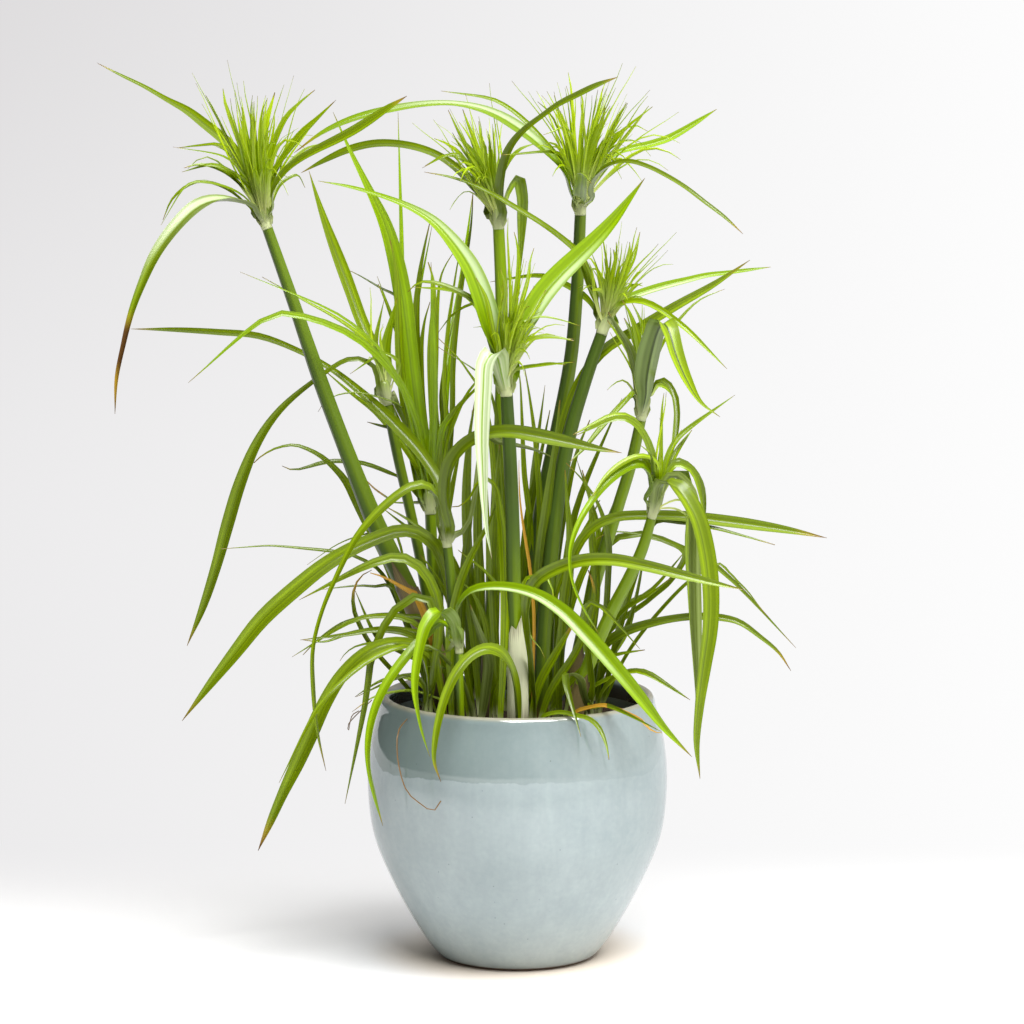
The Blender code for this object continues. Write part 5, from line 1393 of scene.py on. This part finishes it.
def backdrop_colour(tree, way):
    """The backdrop's painted brightness: it grows from left to right, and its upper left is darkest."""
    rightward, _, upward = add(tree, "SeparateXYZ", way).outputs
    shade = add(tree, "MapRange", rightward, -0.15, 0.15, 0.0, 1.0)
    swept = add(tree, "Mix RGBA", shade, BACKDROP_LEFT, BACKDROP_RIGHT)
    upper = add(tree, "MapRange SMOOTHSTEP", upward, -0.15, 0.03, 0.0, 1.0)
    corner = add(tree, "Math SUBTRACT", 1.0, shade)
    corner = add(tree, "Math POWER", corner, 2.0)
    corner = add(tree, "Math MULTIPLY", corner, upper)
    return add(tree, "Mix RGBA", corner, swept, BACKDROP_CORNER)


def room_light(tree, rightward):
    """The dim room's brightness: it grows toward the right."""
    return add(tree, "MapRange SMOOTHSTEP", rightward, -0.3, 0.85, 0.06, 0.8)


paper, tree = new_tree("studio_paper")
where = add(tree, "TexCoord").outputs["Object"]
fibres = add(tree, "TexNoise", Vector=where, Scale=300.0, Detail=2.0)
white = add(tree, "Mix RGBA", fibres, "#ededed", "#f0f0f0")
# Painted shade: close to the foot the paper is painted warmer, so that the shadow there is warmer.
from_foot = add(tree, "VectorMath LENGTH", where)
painted_warm_shade = add(tree, "MapRange SMOOTHSTEP", from_foot, 0.065, 0.12, 1.0, 0.0)
white = add(tree, "Mix RGBA", painted_warm_shade, white, "#eee2d4")
sheet = add(tree, "BsdfPrincipled", Base_Color=white, Roughness=0.9, Specular_IOR_Level=0.1)
# Behind the plant the paper sweeps up into the backdrop, which glows with painted light and shade for a
# viewer at the camera's place.
sight = add(tree, "VectorMath SUBTRACT", where, tuple(EYE))
way = add(tree, "VectorMath NORMALIZE", sight)
curve = add(tree, "Emission", Color=backdrop_colour(tree, way), Strength=1.0)
rightward, backward, _ = add(tree, "SeparateXYZ", where).outputs
far = add(tree, "MapRange SMOOTHSTEP", backward, -0.04, 0.36, 0.0, 1.0)
# Painted light: out of the picture the table glows, more at the right, for the glaze to mirror.
near = add(tree, "MapRange SMOOTHSTEP", backward, -0.9, -0.35, 1.0, 0.0)
around = add(tree, "MapRange SMOOTHSTEP", from_foot, 0.6, 1.3, 0.0, 1.0)
outside = add(tree, "Math MAXIMUM", near, around)
lit = add(tree, "MapRange", rightward, -1.2, 1.2, 0.54, 1.15)
painted_table_glow = add(tree, "Emission", Color=TABLE_GLOW_WHITE, Strength=lit)
table = add(tree, "MixShader", outside, sheet, painted_table_glow)
both = add(tree, "MixShader", far, table, curve)
# Painted reflection: at the sides the lit table ends, and the room past it is dim. Only glossy rays see that.
sideways, ahead, _ = add(tree, "SeparateXYZ", add(tree, "VectorMath NORMALIZE", where)).outputs
below = add(tree, "Math DIVIDE", MIRROR_HEIGHT, from_foot)
ends = add(tree, "Math MULTIPLY_ADD", ahead, EDGE_TILT, EDGE_SLOPE)
ends = add(tree, "Math MINIMUM", ends, EDGE_LOWEST)
past = add(tree, "Math SUBTRACT", ends, below)
past = add(tree, "MapRange", past, -0.003, 0.003, 0.0, 1.0)
aside = add(tree, "Math ABSOLUTE", sideways)
aside = add(tree, "MapRange", aside, 0.35, 0.45, 0.0, 1.0)
past = add(tree, "Math MULTIPLY", past, aside)
path = add(tree, "LightPath")
past = add(tree, "Math MULTIPLY", past, path.outputs["Is Glossy Ray"])
room = add(tree, "Emission", Color=ROOM_WHITE, Strength=room_light(tree, sideways))
both = add(tree, "MixShader", past, both, room)
add(tree, "OutputMaterial", Surface=both)

bpy.ops.object.select_all(action="DESELECT")
bpy.ops.mesh.primitive_circle_add(vertices=96, radius=60, fill_type="NGON")
floor = bpy.context.object
floor.name = "studio_floor"
floor.data.materials.append(paper)
print("floor", floor.name, "of", paper.name)

# %% Sky
sky = bpy.data.worlds.new("studio_sky")
scene.world = sky
sky.use_nodes = True
tree = sky.node_tree
tree.nodes.clear()
way = add(tree, "TexCoord").outputs["Generated"]
rightward, backward, upward = add(tree, "SeparateXYZ", way).outputs
shown = add(tree, "Background", Color=backdrop_colour(tree, way), Strength=1.0)
# What lights the plant: dim at the viewer's left, bright at the right, behind and above.
behind = add(tree, "MapRange SMOOTHSTEP", backward, -0.3, 0.6, 0.0, 0.35)
unlit = add(tree, "MapRange SMOOTHSTEP", rightward, -0.8, -0.35, 0.15, 1.0)
behind = add(tree, "Math MULTIPLY", behind, unlit)
above = add(tree, "MapRange SMOOTHSTEP", upward, 0.78, 0.9, 0.0, 1.1)
bright = add(tree, "Math ADD", behind, above)
bright = add(tree, "Math MAXIMUM", bright, room_light(tree, rightward))
# The white goes on up to its edge, which is soft over half a degree.
edge = add(tree, "Math MULTIPLY_ADD", backward, EDGE_TILT, upward)
edge = add(tree, "MapRange", edge, -EDGE_SLOPE - 0.005, -EDGE_SLOPE + 0.005, 1.0, 0.0)
bright = add(tree, "Math MAXIMUM", bright, edge)
lights = add(tree, "Background", Color=ROOM_WHITE, Strength=bright)
path = add(tree, "LightPath")
both = add(tree, "MixShader", path.outputs["Is Camera Ray"], lights, shown)
add(tree, "OutputWorld", Surface=both)
print("sky", sky.name, "with", len(tree.nodes), "nodes")

# %% Soft box
bpy.ops.object.light_add(type="AREA", location=(0.6, -1.1, 2.3))
soft_box = bpy.context.object
soft_box.name = "overhead_soft_box"
soft_box.data.shape = "RECTANGLE"
soft_box.data.size, soft_box.data.size_y = 2.2, 0.9
soft_box.data.energy = 94
aim = Vector((0.0, 0.0, 0.3)) - soft_box.location
soft_box.rotation_euler = aim.to_track_quat("-Z", "Y").to_euler()
print("soft box", soft_box.data.energy, "W,", round(aim.length, 2), "m away")

# %% [markdown]
# ## Finishing
#
# The blanks were only patterns, so they are removed.

# %% Blanks removed
for blank in (large_blank, small_blank, ray_blank, stem_blank, bulb_blank):
    bpy.data.objects.remove(blank, do_unlink=True)
